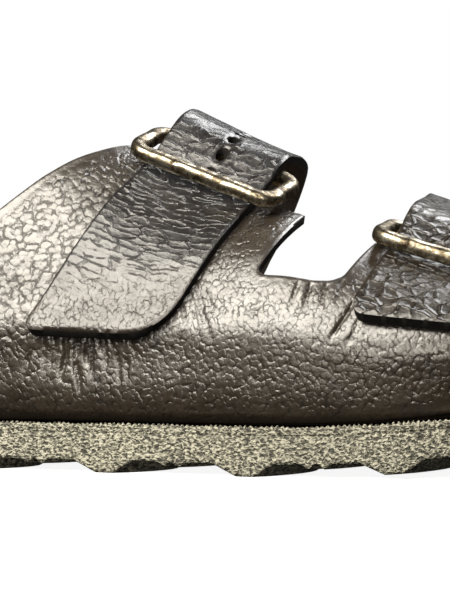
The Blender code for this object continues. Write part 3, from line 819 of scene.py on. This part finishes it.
def strap_holes(strap):
    """Row of holes up a strap, the first just behind the buckle's front bar."""
    loops = []
    station = strap.hole_station
    length = float(side_length(station, LATERAL))
    for k in range(HOLE_COUNT):
        girth = float(bar_girth(strap, station)) + (strap.hole_past_bar + k * HOLE_PITCH) / length
        loops.append(hole_loop(station + float(slide_of(strap, girth)), girth))
    return loops


def quarter_grain(flat, place, station, girth):
    """Height of the outer quarter's leather: dips, soft pebbles and its creases."""
    x, w = flat[:, 0], flat[:, 1]
    height = QUARTER_PEBBLE * pebbles(x, w, length=2.6, width=2.2, turn=20, seed=11)
    height += QUARTER_WAVE * noise(x, w, size=7.0, seed=31)
    height += QUARTER_RIPPLE * noise(x, w, size=2.4, seed=32)
    dips = np.minimum(relief(place), 0)
    return height + dips + troughs(QUARTER_CREASES, place[:, 0], place[:, 2])


def strap_grain(flat, place, station, girth):
    """Height of the straps' leather: soft folds across it, calmer past the bars."""
    x, w = flat[:, 0], flat[:, 1]
    bar = np.where(station < NOTCH_MIDDLE, *(bar_girth(strap, station) for strap in STRAPS))
    calm = 1 - FOLD_CALM * ease(0, FOLD_CALM_SPAN, girth - bar)
    folds = STRAP_FOLD * pebbles(x, w, length=7.5, width=2.5, turn=-10, seed=41, border=0.26)
    return calm * (folds + STRAP_WAVE * noise(x, w, size=6.0, seed=51))


def quarter_lifts(station, girth):
    """Height of the outer quarter's back above the last: its swells, without the dips."""
    place, _ = on_last(station, girth)
    return np.maximum(relief(place), 0)


def quarter_zone(place, station, girth):
    """Shares of long folds, of a net of ridges and of fine pebbles in the outer quarter's grain."""
    x, z = place[:, 0], place[:, 2]
    fine = np.clip(ease(*QUARTER_FINE_X, x) + ease(*QUARTER_FINE_Z, z), 0, 1)
    return 0 * x, 0 * x, fine


def strap_zone(place, station, girth):
    """The same shares on the straps: folds on the rear one, pebbles at its tip, a net on the front one."""
    rear = station < NOTCH_MIDDLE
    outer = ease(*STRAP_GRAIN_END, girth)
    tip = ease(*TIP_GRAIN_Z, place[:, 2]) * (girth < 0)
    folds = np.where(rear, outer * (1 - TIP_FOLD_LOSS * tip), 0)
    net = np.where(rear, 0, outer)
    return folds, net, np.where(rear, tip, 0)


def tip_share(station, girth):
    """1 at a strap's tip, falling to 0 a little way up it."""
    share = np.zeros(len(station))
    for strap, here in by_strap(station):
        ends = (strap.start, strap.end)
        tip = np.interp(station[here], ends, [tip_girth(strap, end) for end in ends])
        share[here] = np.clip(1 - (girth[here] - tip) / TIP_FLARE_SPAN, 0, 1) ** 2
    return share


def strap_slants(station, girth):
    """How far the lower rim of a strap tip's cut edge hangs below its upper rim."""
    return TIP_SLANT * tip_share(station, girth) ** 2


def strap_lifts(station, girth):
    """Height of a strap's back above the last: it follows the quarter's swells, and its tip flares off."""
    lift = TIP_FLARE * tip_share(station, girth)
    for strap, here in by_strap(station):
        lift[here] += strap_lift(strap, station[here], girth[here])
    place, _ = on_last(station, girth)
    return lift + relief(place) * ease(SWELL_END, SWELL_END - SWELL_FADE, girth)


def make_upper(quarter_leather, strap_leather, edge, back):
    quarter = leather_sheet(
        "outer_quarter",
        [outer_quarter_loop()],
        QUARTER_PITCH,
        quarter_lifts,
        lambda station, girth: np.zeros(len(station)),
        quarter_grain,
        quarter_zone,
        QUARTER_BARE,
        (quarter_leather, edge, back),
    )
    place_piece(quarter, "leather", "upper")
    holes = [loop for strap in STRAPS for loop in strap_holes(strap)]
    straps = leather_sheet(
        "inner_quarter_and_straps",
        [inner_quarter_loop(), *holes],
        STRAP_PITCH,
        strap_lifts,
        strap_slants,
        strap_grain,
        strap_zone,
        STRAP_BARE,
        (strap_leather, edge, back),
    )
    place_piece(straps, "leather", "upper")


# Sole


def lug_cut(x):
    """How far the sole's underside is cut in: lugs with steep fronts, recesses with two small teeth."""
    lugs = [(-HALF_LENGTH - 1, HEEL_LUG_END)]
    for k in range(-LUGS_EACH_WAY, LUGS_EACH_WAY + 1):
        start = LUG_START + k * LUG_PITCH
        lugs.append((start, start + LUG_FLAT))
    lugs.append((TOE_LUG_START, HALF_LENGTH + 1))
    knots, cuts, teeth = [lugs[0][0]], [0.0], []
    for (_, end), (start, _) in zip(lugs, lugs[1:]):
        knots += [end, end + LUG_STEEP, start - LUG_GENTLE, start]
        cuts += [0.0, LUG_DEPTH, LUG_DEPTH, 0.0]
        middle = (end + LUG_STEEP + start - LUG_GENTLE) / 2
        if start - end > LUG_STEEP + LUG_GENTLE + 3 * TOOTH_SPACING:
            teeth += [middle - TOOTH_SPACING / 2, middle + TOOTH_SPACING / 2]
    cut = np.interp(x, knots + [lugs[-1][1]], cuts + [0.0])
    for tooth in teeth:
        cut = cut - TOOTH_DEPTH * np.clip(1 - np.abs(x - tooth) / TOOTH_WIDTH, 0, 1)
    return cut


def wall_rows(x, side):
    """Points of the sole's wall on one side, ring by ring, from its lower lip up to its beaded top edge."""
    y = outline(x, side)
    along = np.stack([np.gradient(x), np.gradient(y)], -1)
    along /= np.linalg.norm(along, axis=1)[:, None]
    out = side * np.stack([-along[:, 1], along[:, 0]], -1)
    run = run_along(x, y)
    low = rise(x) + lug_cut(x)
    top = sole_top(x)
    shifted = run + BEAD_WANDER * noise(run, 0 * run, size=3.1, seed=61)
    beat = np.abs(np.cos(math.pi * shifted / BEAD_PITCH))
    bead = BEAD_HEIGHT * beat * (1 - BEAD_SPREAD + BEAD_SPREAD * noise(run, 0 * run, size=4.0, seed=62))
    rows = [(row.out, low + row.up) for row in FOOT_ROWS]
    for share in SIDE_SHARES:
        z = low + SIDE_FOOT + (top - SIDE_TOP - low - SIDE_FOOT) * share
        pit = noise(run, z * PIT_STRETCH, size=0.95, seed=63) + FINE_PIT * noise(run, z, size=0.55, seed=64)
        rows.append((SIDE_OUT - PIT_DEPTH * np.abs(pit) * ease(*PIT_FADE, share), z))
    rows += [(row.out + row.bead_out * bead, top - row.below + row.bead_up * bead) for row in TOP_ROWS]
    points = []
    for offset, z in rows:
        points.append(np.stack([x + out[:, 0] * offset, y + out[:, 1] * offset, z], -1))
    return points


def make_outsole(rubber, painted_shade):
    turn = np.linspace(SOLE_END_TURN, math.pi - SOLE_END_TURN, SOLE_RINGS)
    x = -HALF_LENGTH * np.cos(turn)
    lateral = wall_rows(x, LATERAL)
    medial = wall_rows(x, MEDIAL)
    sway = RIB_SWAY * end_round((x + HALF_LENGTH) / LENGTH) ** 2
    under = []
    for share in np.linspace(0, 1, RIB_COLUMNS)[1:-1]:
        rib_x = x + sway * math.sin(2 * math.pi * share)
        y = outline(rib_x, LATERAL) * (1 - share) + outline(rib_x, MEDIAL) * share
        under.append(np.stack([rib_x, y, rise(x) + lug_cut(x)], -1))
    rings = np.stack([*lateral[::-1], *under, *medial], 1)
    size = rings.shape[1]
    # The ledge rows take the near-black painted shade.
    slots = [1 if place < LEDGE_ROWS or place >= size - LEDGE_ROWS - 1 else 0 for place in range(size)]
    piece = lofted("sole_with_lugs", rings, (rubber, painted_shade), slots, len(lateral))
    sharpen(piece, SOLE_ANGLE)
    place_piece(piece, "sole", "outsole")


def lofted(name, rings, materials, slots, side_rows):
    """Closed mesh through rings that start and end with the rows of two sides, its ends closed row by row."""
    count, size = rings.shape[:2]
    index = np.arange(count * size).reshape(count, size)
    ahead = np.roll(index, -1, axis=1)
    faces = np.stack([index[:-1], ahead[:-1], ahead[1:], index[1:]], -1).reshape(-1, 4).tolist()
    cap = [[k, k + 1, size - 2 - k, size - 1 - k] for k in range(side_rows - 1)]
    cap.append(list(range(side_rows - 1, size - side_rows + 1)))
    faces += [index[0][corners[::-1]].tolist() for corners in cap]
    faces += [index[-1][corners].tolist() for corners in cap]
    face_slots = np.concatenate([np.tile(slots, count - 1), slots[:side_rows], slots[:side_rows]])
    return mesh_piece(name, rings.reshape(-1, 3), faces, materials, face_slots)


# Footbed


def bed_height(x, across):
    """Height of the footbed's top: across is -1 at its outer rim and 1 at its inner rim."""
    names = ("centre", "lateral", "medial")
    centre, lateral, medial = (curve(BEDS, x + HALF_LENGTH, name) for name in names)
    rim = np.where(across < 0, lateral, medial)
    hollow = (rim - centre) * np.clip(BED_END_FILL * end_round((x + HALF_LENGTH) / LENGTH), 0, 1)
    return sole_top(x) + rim - hollow * (1 - np.abs(across) ** BED_DISH)


def bed_inset(above_sole):
    """How far the footbed's side wall stands in from the sole's outline."""
    lip = GAP + LEATHER + BED_GAP
    share = np.clip((above_sole - lip) / (BULGE_HEIGHT - SOLE_THICKNESS - lip), 0, 1)
    return BED_GAP + FEATHER_INSET - (FEATHER_INSET - BULGE_INSET) * np.sqrt(1 - (1 - share) ** 2)


def make_footbed(cork, suede, painted_shade):
    turn = np.linspace(BED_END_TURN, math.pi - BED_END_TURN, BED_STATIONS)
    along = -np.cos(turn)
    middle_x = along * (HALF_LENGTH - BULGE_INSET - BED_GAP)
    walls = []
    for side in (LATERAL, MEDIAL):
        rim = bed_height(middle_x, np.full(len(along), side)) - sole_top(middle_x)
        wall = []
        for step in np.linspace(0, 1, BED_SIDE_ROWS):
            above = GAP + (rim - GAP) * step
            inset = bed_inset(above)
            near_top = np.clip((above - rim + BED_TOP_ROUND) / BED_TOP_ROUND, 0, 1)
            inset = inset + BED_TOP_ROUND * (1 - np.sqrt(1 - near_top**2))
            x = along * (HALF_LENGTH - inset)
            rough = CORK_ROUGH * noise(x, SIDES_APART * side + above, size=1.8, seed=71)
            wall.append(np.stack([x, outline(x, side, inset) + rough, sole_top(x) + above], -1))
        walls.append(wall)
    lateral, medial = walls
    top = []
    dish = ease(0, BED_END_DISH, np.sin(turn))
    for share in np.linspace(1, 0, BED_ROWS + 1)[1:-1]:
        line = lateral[-1] + (medial[-1] - lateral[-1]) * share
        x = line[:, 0]
        height = bed_height(x, np.full(len(x), 2 * share - 1))
        height = height + SUEDE_WAVE * noise(x, line[:, 1], size=3.0, seed=72)
        line[:, 2] += dish * (height - line[:, 2])
        top.append(line)
    rings = np.stack([*medial, *top, *lateral[::-1]], 1)
    # The lowest rows of the side and the bottom take the near-black painted shade.
    side = [2] * PAINTED_SHADE_ROWS + [0] * (BED_SIDE_ROWS - 1 - PAINTED_SHADE_ROWS)
    slots = side + [1] * BED_ROWS + side[::-1] + [2]
    piece = lofted("footbed", rings, (cork, suede, painted_shade), slots, BED_SIDE_ROWS)
    sharpen(piece, BED_ANGLE)
    place_piece(piece, "footbed", "insole")


# Buckles


def buckle_frame(buckle):
    """Centre and axes of a buckle: along its bars, across them towards the crest, and outward."""
    stations = np.array([buckle.start, buckle.end])
    girths = np.array([buckle.start_girth, buckle.end_girth])
    front, _ = on_last(stations, girths, np.full(2, buckle.front_lift))
    back, _ = on_last(stations, girths + BUCKLE_GIRTH_SPAN, np.full(2, buckle.back_lift))
    along = Vector(front[1] - front[0]).normalized()
    across = Vector(back[0] + back[1] - front[0] - front[1])
    across = (across - across.dot(along) * along).normalized()
    centre = Vector(front[0] + front[1]) / 2 + across * (BUCKLE_DEPTH - BUCKLE_WIRE) / 2
    outward = along.cross(across)
    turn = Matrix((along, across, outward)).transposed().to_4x4()
    return Matrix.Translation(centre) @ turn


def rounded_rectangle(length, depth, radius, pitch):
    points = []
    for quarter, (sign_x, sign_y) in enumerate(((1, 1), (-1, 1), (-1, -1), (1, -1))):
        for step in np.linspace(0, 1, BUCKLE_CORNER_STEPS):
            angle = math.pi / 2 * (quarter + step)
            x = sign_x * (length / 2 - radius) + radius * math.cos(angle)
            y = sign_y * (depth / 2 - radius) + radius * math.sin(angle)
            points.append((x, y, 0.0))
    points = np.array(points + points[:1])
    run = run_along(*points.T)
    at = np.linspace(0, run[-1], int(run[-1] / pitch), endpoint=False)
    return np.stack([np.interp(at, run, points[:, k]) for k in range(3)], -1)


def swept(name, path, closed, section, matrix, material, dents, seed):
    """Bar along a path in its own plane's frame. The section gives points across the bar and out of it."""
    ahead = np.roll(path, -1, axis=0) if closed else np.concatenate([path[1:], path[-1:]])
    behind = np.roll(path, 1, axis=0) if closed else np.concatenate([path[:1], path[:-1]])
    along = ahead - behind
    along /= np.linalg.norm(along, axis=1)[:, None]
    up = np.array([0.0, 0.0, 1.0]) if closed else np.array([1.0, 0.0, 0.0])
    across = np.cross(along, up)
    count, size = len(path), len(section)
    run, turn = np.meshgrid(np.arange(count) * BUCKLE_PITCH, np.arange(size) / size, indexing="ij")
    scale = 1 + dents * noise(run, DENT_TURN * turn, DENT_SIZE, seed)
    if not closed:
        scale[[0, -1]] *= PRONG_END
    rings = path[:, None] + across[:, None] * (section[:, 0] * scale)[..., None]
    rings = rings + up * (section[:, 1] * scale)[..., None]
    index = np.arange(count * size).reshape(count, size)
    near = index if closed else index[:-1]
    far = np.roll(index, -1, axis=0) if closed else index[1:]
    corners = [near, far, np.roll(far, -1, axis=1), np.roll(near, -1, axis=1)]
    faces = np.stack(corners, -1).reshape(-1, 4).tolist()
    if not closed:
        faces += [index[0].tolist(), index[-1][::-1].tolist()]
    turned = rings.reshape(-1, 3) @ np.array(matrix.to_3x3()).T + np.array(matrix.translation)
    return mesh_piece(name, turned, faces, (material,))


def superellipse(half_across, half_out, power, count):
    turn = np.linspace(0, 2 * math.pi, count, endpoint=False)
    c, s = np.cos(turn), np.sin(turn)
    across = half_across * np.sign(c) * np.abs(c) ** (2 / power)
    out = half_out * np.sign(s) * np.abs(s) ** (2 / power)
    return np.stack([across, out], -1)


def make_buckles(brass):
    length, depth = BUCKLE_LENGTH - BUCKLE_WIRE, BUCKLE_DEPTH - BUCKLE_WIRE
    frame_path = rounded_rectangle(length, depth, BUCKLE_CORNER, BUCKLE_PITCH)
    radius = BUCKLE_WIRE / 2 + GAP + PRONG_WIRE / 2
    turns = [math.radians(angle) for angle in PRONG_HOOK_ANGLES]
    hook = [(0.0, depth / 2 + radius * math.cos(turn), radius * math.sin(turn)) for turn in turns]
    knots = np.array(hook + [(0.0, y, z) for y, z in PRONG_RUN])
    run = run_along(*knots.T)
    at = np.linspace(0, run[-1], PRONG_POINTS)
    prong_path = np.stack([smooth(at, run, knots[:, k]) for k in range(3)], -1)
    bar, pin = superellipse(*BAR_SECTION), superellipse(*PRONG_SECTION)
    for seed, strap in enumerate(STRAPS):
        matrix = buckle_frame(strap.buckle)
        name = strap.name + "_buckle"
        piece = swept(name + "_frame", frame_path, True, bar, matrix, brass, BAR_DENTS, 81 + seed)
        place_piece(piece, "metal", name)
        name = strap.name + "_prong"
        piece = swept(name + "_pin", prong_path, False, pin, matrix, brass, PRONG_DENTS, 91 + seed)
        place_piece(piece, "metal", name)


# Materials

WHITE = (1, 1, 1, 1)


class Shader:
    """A material's nodes, with short calls for the few kinds used here."""

    def __init__(self, name, roughness, **sockets):
        self.material = bpy.data.materials.new(name)
        self.material.use_nodes = True
        self.tree = self.material.node_tree
        self.surface = self.tree.nodes["Principled BSDF"]
        self.fill(self.surface, {socket.replace("_", " "): value for socket, value in sockets.items()})
        self.fill(self.surface, {"Roughness": roughness})
        self.place = self.node("TexCoord", {})["Object"]

    def fill(self, node, sockets):
        """Sets each socket to a value, or links it to another node's output."""
        for socket, value in sockets.items():
            if isinstance(value, bpy.types.NodeSocket):
                self.tree.links.new(value, node.inputs[socket])
            else:
                node.inputs[socket].default_value = value

    def node(self, kind, sockets, **settings):
        """Outputs of a new node."""
        node = self.tree.nodes.new("ShaderNode" + kind)
        for name, value in settings.items():
            setattr(node, name, value)
        self.fill(node, sockets)
        return node.outputs

    def noise(self, size_mm, detail=3.0, rough=0.55, distortion=0.0, stretch=None):
        place = self.place
        if stretch:
            place = self.node("Mapping", {"Vector": place, "Scale": stretch})["Vector"]
        sockets = {"Vector": place, "Scale": 1 / (size_mm * MM), "Detail": detail}
        sockets.update({"Roughness": rough, "Distortion": distortion})
        return self.node("TexNoise", sockets)["Fac"]

    def cells(self, size_mm):
        return self.node("TexVoronoi", {"Vector": self.place, "Scale": 1 / (size_mm * MM)})["Distance"]

    def attribute(self, name):
        return self.node("Attribute", {}, attribute_name=name)

    def warped(self, place, size_mm, reach_mm):
        """A place on the flat leather, shifted to and fro by noise."""
        shift = self.node("TexNoise", {"Vector": place, "Scale": 1 / size_mm}, noise_dimensions="2D")["Color"]
        sockets = {0: shift, 1: (reach_mm, reach_mm, reach_mm), 2: place}
        return self.node("VectorMath", sockets, operation="MULTIPLY_ADD")["Vector"]

    def cells_on(self, place, length_mm, width_mm, turn, feature):
        """Distance over cells scattered on the flat leather, from their middles or from their borders."""
        sockets = {"Vector": place, "Scale": (length_mm, width_mm, 1), "Rotation": (0, 0, math.radians(turn))}
        turned = self.node("Mapping", sockets, vector_type="TEXTURE")["Vector"]
        settings = {"voronoi_dimensions": "2D", "feature": feature}
        return self.node("TexVoronoi", {"Vector": turned, "Scale": 1.0}, **settings)["Distance"]

    def domes(self, place, length_mm, width_mm, turn):
        """Rounded pebbles with soft valleys between them."""
        middle = self.cells_on(place, length_mm, width_mm, turn, "F1")
        return self.ramp(middle, (0.0, 1.0), (0.38, 0.9), (0.58, 0.5), (0.75, 0.0))

    def ridges(self, place, length_mm, width_mm, turn, mask):
        """Thin broken ridges round shallow hollows."""
        border = self.cells_on(place, length_mm, width_mm, turn, "DISTANCE_TO_EDGE")
        middle = self.cells_on(place, length_mm, width_mm, turn, "F1")
        line = self.ramp(border, (0.0, 1.0), (0.05, 0.7), (0.13, 0.15), (0.22, 0.0))
        hollow = self.ramp(middle, (0.0, 0.0), (0.4, 0.3), (0.8, 1.0))
        return self.mixed("MIX", 0.3, self.times(line, mask), hollow)

    def patches(self, place, size_mm):
        """Soft patches over the flat leather."""
        sockets = {"Vector": place, "Scale": 1 / size_mm, "Detail": 2.0}
        return self.node("TexNoise", sockets, noise_dimensions="2D")["Fac"]

    def times(self, first, second):
        return self.node("Math", {0: first, 1: second}, operation="MULTIPLY")["Value"]

    def mixed(self, kind, amount, first, second):
        sockets = {"Fac": amount, "Color1": first, "Color2": second}
        return self.node("MixRGB", sockets, blend_type=kind)["Color"]

    def blended(self, share, first, second):
        """First where the share is 0, second where it is 1."""
        return self.mixed("MIX", share, first, second)

    def ramp(self, value, *stops):
        """Colours or grey levels by value: stops are (place, colour or level)."""
        output = self.node("ValToRGB", {"Fac": value})["Color"]
        elements = output.node.color_ramp.elements
        while len(elements) < len(stops):
            elements.new(0.5)
        for element, (place, colour) in zip(elements, stops):
            element.position = place
            element.color = (*colour, 1.0) if isinstance(colour, tuple) else (colour, colour, colour, 1.0)
        return output

    def tones(self, value, dark, pale):
        return self.ramp(value, (0.3, dark), (0.7, pale))

    def colour(self, output):
        self.fill(self.surface, {"Base Color": output})

    def roughness(self, output):
        self.fill(self.surface, {"Roughness": output})

    def bump(self, height, depth_mm, strength=1.0):
        """Adds a relief on top of those the surface already has."""
        sockets = {"Height": height, "Strength": strength, "Distance": depth_mm * MM}
        for link in self.surface.inputs["Normal"].links:
            sockets["Normal"] = link.from_socket
        self.fill(self.surface, {"Normal": self.node("Bump", sockets)["Normal"]})


def leather_face(name, specular, coat):
    """Black-brown leather: creased pebbles on the quarters, raised folds and a raised net on the straps."""
    shader = Shader(name, 0.38, Specular_IOR_Level=specular, Coat_Weight=coat, Coat_Roughness=0.3)
    zone = shader.attribute("zone")
    shares = shader.node("SeparateColor", {"Color": zone["Color"]})
    flat = shader.attribute("flat")["Vector"]
    place = shader.warped(shader.warped(flat, 3.4, 1.3), 1.1, 0.4)
    gaps = shader.ramp(shader.patches(flat, 2.6), (0.36, 0.35), (0.56, 1.0))
    coarse = shader.blended(gaps, WHITE, shader.domes(place, 2.1, 1.4, 28))
    fine = shader.blended(gaps, WHITE, shader.domes(place, 1.15, 1.3, -14))
    pebbles = shader.blended(shares["Blue"], coarse, fine)
    wavy = shader.warped(shader.warped(flat, 6.0, 2.2), 1.5, 0.35)
    mask = shader.ramp(shader.patches(flat, 3.2), (0.40, 0.05), (0.56, 1.0))
    folds = shader.ridges(wavy, 6.4, 1.55, -9, mask)
    full = shader.ramp(shader.patches(flat, 3.2), (0.32, 0.35), (0.46, 1.0))
    net = shader.ridges(wavy, 3.4, 1.7, -6, full)
    height = shader.blended(shares["Green"], shader.blended(shares["Red"], pebbles, folds), net)
    tone = shader.noise(9.0, 4.0)
    quarter = shader.tones(tone, (0.014, 0.010, 0.0065), (0.030, 0.022, 0.014))
    strap = shader.tones(tone, (0.006, 0.005, 0.0055), (0.013, 0.0105, 0.011))
    colour = shader.blended(shares["Red"], quarter, strap)
    # Darker in the grain's low places as painted shade in creases and hollows, and a little lighter on the
    # raised tops as wear.
    crease_shade_and_wear = shader.ramp(height, (0.0, 0.45), (0.5, 0.85), (1.0, 1.0))
    speck = shader.ramp(shader.noise(0.7, 2.0), (0.3, 0.6), (0.65, 1.0))
    shader.colour(shader.mixed("MULTIPLY", 0.6, shader.mixed("MULTIPLY", 0.9, colour, crease_shade_and_wear), speck))
    shader.roughness(shader.tones(shader.noise(3.0, 4.0), 0.30, 0.42))
    shader.bump(shader.times(height, zone["Alpha"]), 0.38)
    shader.bump(shader.noise(0.9), 0.12, 0.9)
    shader.bump(shader.noise(0.4, 2.0), 0.05, 0.6)
    return shader.material


def leather_edge():
    shader = Shader("cut_leather_edge", 0.75, Specular_IOR_Level=0.15)
    # Near black, darker than the face: the raw edge's own dark, deepened as painted shade so the holes and
    # cut edges stay black under the lamps.
    shader.colour(shader.tones(shader.noise(0.8), (0.003, 0.0027, 0.0025), (0.009, 0.008, 0.0075)))
    shader.roughness(shader.tones(shader.noise(1.5), 0.65, 0.85))
    shader.bump(shader.noise(0.4), 0.08, 0.8)
    return shader.material


def leather_back():
    shader = Shader("leather_lining", 0.8)
    shader.colour(shader.tones(shader.noise(1.2, 4.0), (0.016, 0.013, 0.011), (0.032, 0.026, 0.021)))
    shader.roughness(shader.tones(shader.noise(2.0), 0.72, 0.9))
    shader.bump(shader.noise(0.3, 4.0), 0.12, 0.8)
    return shader.material


def foam_rubber():
    shader = Shader("foamed_rubber", 0.6, Specular_IOR_Level=0.4)
    worms = shader.noise(0.68, 0.5, 0.5, 0.7, (0.8, 0.8, 1.25))
    fine = shader.noise(0.45, 2.0)
    tone = shader.noise(14.0)
    # The worm texture is painted dark in its low places and pale on its tops, following its own bump: painted
    # shade in the hollows and painted highlight on the tops.
    dark, middle, pale = (0.035, 0.034, 0.026), (0.15, 0.146, 0.112), (0.39, 0.38, 0.305)
    colour = shader.ramp(worms, (0.36, dark), (0.48, middle), (0.62, pale))
    colour = shader.mixed("MULTIPLY", 0.3, colour, shader.ramp(fine, (0.35, 0.55), (0.6, 1.0)))
    colour = shader.mixed("MULTIPLY", 0.5, colour, shader.tones(tone, 0.75, 1.0))
    shader.colour(colour)
    shader.roughness(shader.tones(fine, 0.5, 0.75))
    shader.bump(worms, 0.7)
    shader.bump(fine, 0.15, 0.7)
    return shader.material


def painted_shade_line():
    """Near-black painted shade where the sole, the footbed and the leather meet."""
    shader = Shader("painted_shade_line", 0.9, Specular_IOR_Level=0.2)
    shader.colour(shader.tones(shader.noise(1.5), (0.006, 0.005, 0.004), (0.016, 0.013, 0.010)))
    shader.bump(shader.noise(0.6), 0.1, 0.7)
    return shader.material


def cork_side():
    shader = Shader("cork", 0.85)
    grains = shader.cells(2.2)
    dark, middle, pale = (0.22, 0.12, 0.055), (0.40, 0.25, 0.13), (0.50, 0.33, 0.18)
    colour = shader.ramp(grains, (0.1, dark), (0.5, middle), (0.8, pale))
    holes = shader.noise(1.3, 3.0, 0.6)
    shader.colour(shader.mixed("MULTIPLY", 0.85, colour, shader.ramp(holes, (0.36, 0.25), (0.46, 1.0))))
    shader.bump(holes, 0.35, 0.8)
    shader.bump(grains, 0.2, 0.5)
    return shader.material


def suede_top():
    shader = Shader("suede", 0.95, Sheen_Weight=0.35, Sheen_Roughness=0.5)
    tone = shader.noise(12.0, 4.0)
    nap = shader.noise(0.5, 3.0, 0.6, 0.3, (1, 0.5, 1))
    colour = shader.tones(tone, (0.20, 0.135, 0.085), (0.28, 0.195, 0.125))
    shader.colour(shader.mixed("MULTIPLY", 0.7, colour, shader.ramp(nap, (0.3, 0.6), (0.65, 1.0))))
    shader.bump(nap, 0.15, 0.8)
    return shader.material


def antique_brass():
    shader = Shader("antique_brass", 0.35, Metallic=1.0)
    patches = shader.noise(2.4, 5.0, 0.65, 0.4)
    stains = shader.noise(0.8)
    dark, middle, pale = (0.035, 0.027, 0.018), (0.20, 0.165, 0.11), (0.66, 0.61, 0.49)
    colour = shader.ramp(patches, (0.38, dark), (0.5, middle), (0.64, pale))
    shader.colour(shader.mixed("MULTIPLY", 0.6, colour, shader.ramp(stains, (0.35, 0.5), (0.6, 1.0))))
    shader.roughness(shader.ramp(patches, (0.35, 0.5), (0.65, 0.26)))
    shader.bump(patches, 0.12, 0.6)
    shader.bump(stains, 0.05, 0.5)
    return shader.material


# Stage, light and camera

AIM = Vector((27.07, -46.0, 41.7)) * MM
AZIMUTH = 12.0
DISTANCE = 560.0
FOCAL_PX = 2352.0
PHOTO_HEIGHT = 600
SENSOR = 36.0
FLOOR_HALF = 4000.0
DIM_WORLD = (0.02, 0.02, 0.02, 1)
CLIP_START = 10.0

# Lights: azimuth 0 is the outer side, positive to the toe, distance and size are in metres, power is in watts
LIGHTS = table(
    "name azimuth elevation distance width height power colour",
    ("front_softbox", -27, 37, 0.9, 0.9, 0.62, 25.5, (1.0, 0.94, 0.83)),
    ("low_fill", 5, -2, 1.3, 0.6, 0.35, 10, (1.0, 0.92, 0.80)),
    ("back_softbox", 135, 55, 1.1, 1.0, 0.5, 18, (1.0, 1.0, 1.0)),
)


def make_stage():
    pale = {"Base_Color": (0.8, 0.8, 0.8, 1), "Emission_Color": WHITE, "Emission_Strength": 0.9}
    material = Shader("pale_floor", 0.9, **pale).material
    corners = [(-1, -1, 0), (1, -1, 0), (1, 1, 0), (-1, 1, 0)]
    floor = mesh_piece("floor", np.array(corners) * FLOOR_HALF, [(0, 1, 2, 3)], (material,))
    floor.visible_diffuse = False
    floor.visible_glossy = False


def area_light(row):
    """Soft box that faces the shoe."""
    light = bpy.data.lights.new(row.name, "AREA")
    light.shape = "RECTANGLE"
    light.size = row.width
    light.size_y = row.height
    light.energy = row.power
    light.color = row.colour
    lamp = bpy.data.objects.new(row.name, light)
    az, el = math.radians(row.azimuth), math.radians(row.elevation)
    way = Vector((math.sin(az) * math.cos(el), -math.cos(az) * math.cos(el), math.sin(el)))
    lamp.location = AIM + way * row.distance
    lamp.rotation_euler = way.to_track_quat("Z", "Y").to_euler()
    bpy.context.scene.collection.objects.link(lamp)


def make_light():
    for row in LIGHTS:
        area_light(row)
    world = bpy.data.worlds.new("studio")
    world.use_nodes = True
    nodes, links = world.node_tree.nodes, world.node_tree.links
    nodes["Background"].inputs["Color"].default_value = DIM_WORLD
    white = nodes.new("ShaderNodeBackground")
    white.inputs["Color"].default_value = WHITE
    choose = nodes.new("ShaderNodeMixShader")
    seen = nodes.new("ShaderNodeLightPath")
    links.new(seen.outputs["Is Camera Ray"], choose.inputs["Fac"])
    links.new(nodes["Background"].outputs["Background"], choose.inputs[1])
    links.new(white.outputs["Background"], choose.inputs[2])
    links.new(choose.outputs["Shader"], nodes["World Output"].inputs["Surface"])
    bpy.context.scene.world = world
    bpy.context.scene.view_settings.view_transform = "Standard"


def make_camera():
    data = bpy.data.cameras.new("camera")
    data.sensor_width = SENSOR
    data.lens = FOCAL_PX / PHOTO_HEIGHT * SENSOR
    data.clip_start = CLIP_START * MM
    camera = bpy.data.objects.new("camera", data)
    az = math.radians(AZIMUTH)
    way = Vector((math.sin(az), -math.cos(az), 0))
    camera.location = AIM + way * DISTANCE * MM
    camera.rotation_euler = way.to_track_quat("Z", "Y").to_euler()
    bpy.context.scene.collection.objects.link(camera)
    bpy.context.scene.camera = camera


make_camera()
make_stage()
make_light()
# Near-black painted shade where the sole, the footbed and the leather meet
painted_shade = painted_shade_line()
make_outsole(foam_rubber(), painted_shade)
make_footbed(cork_side(), suede_top(), painted_shade)
quarter_leather = leather_face("pebbled_leather", 0.9, 0.4)
strap_leather = leather_face("folded_leather", 0.7, 0.25)
make_upper(quarter_leather, strap_leather, leather_edge(), leather_back())
make_buckles(antique_brass())
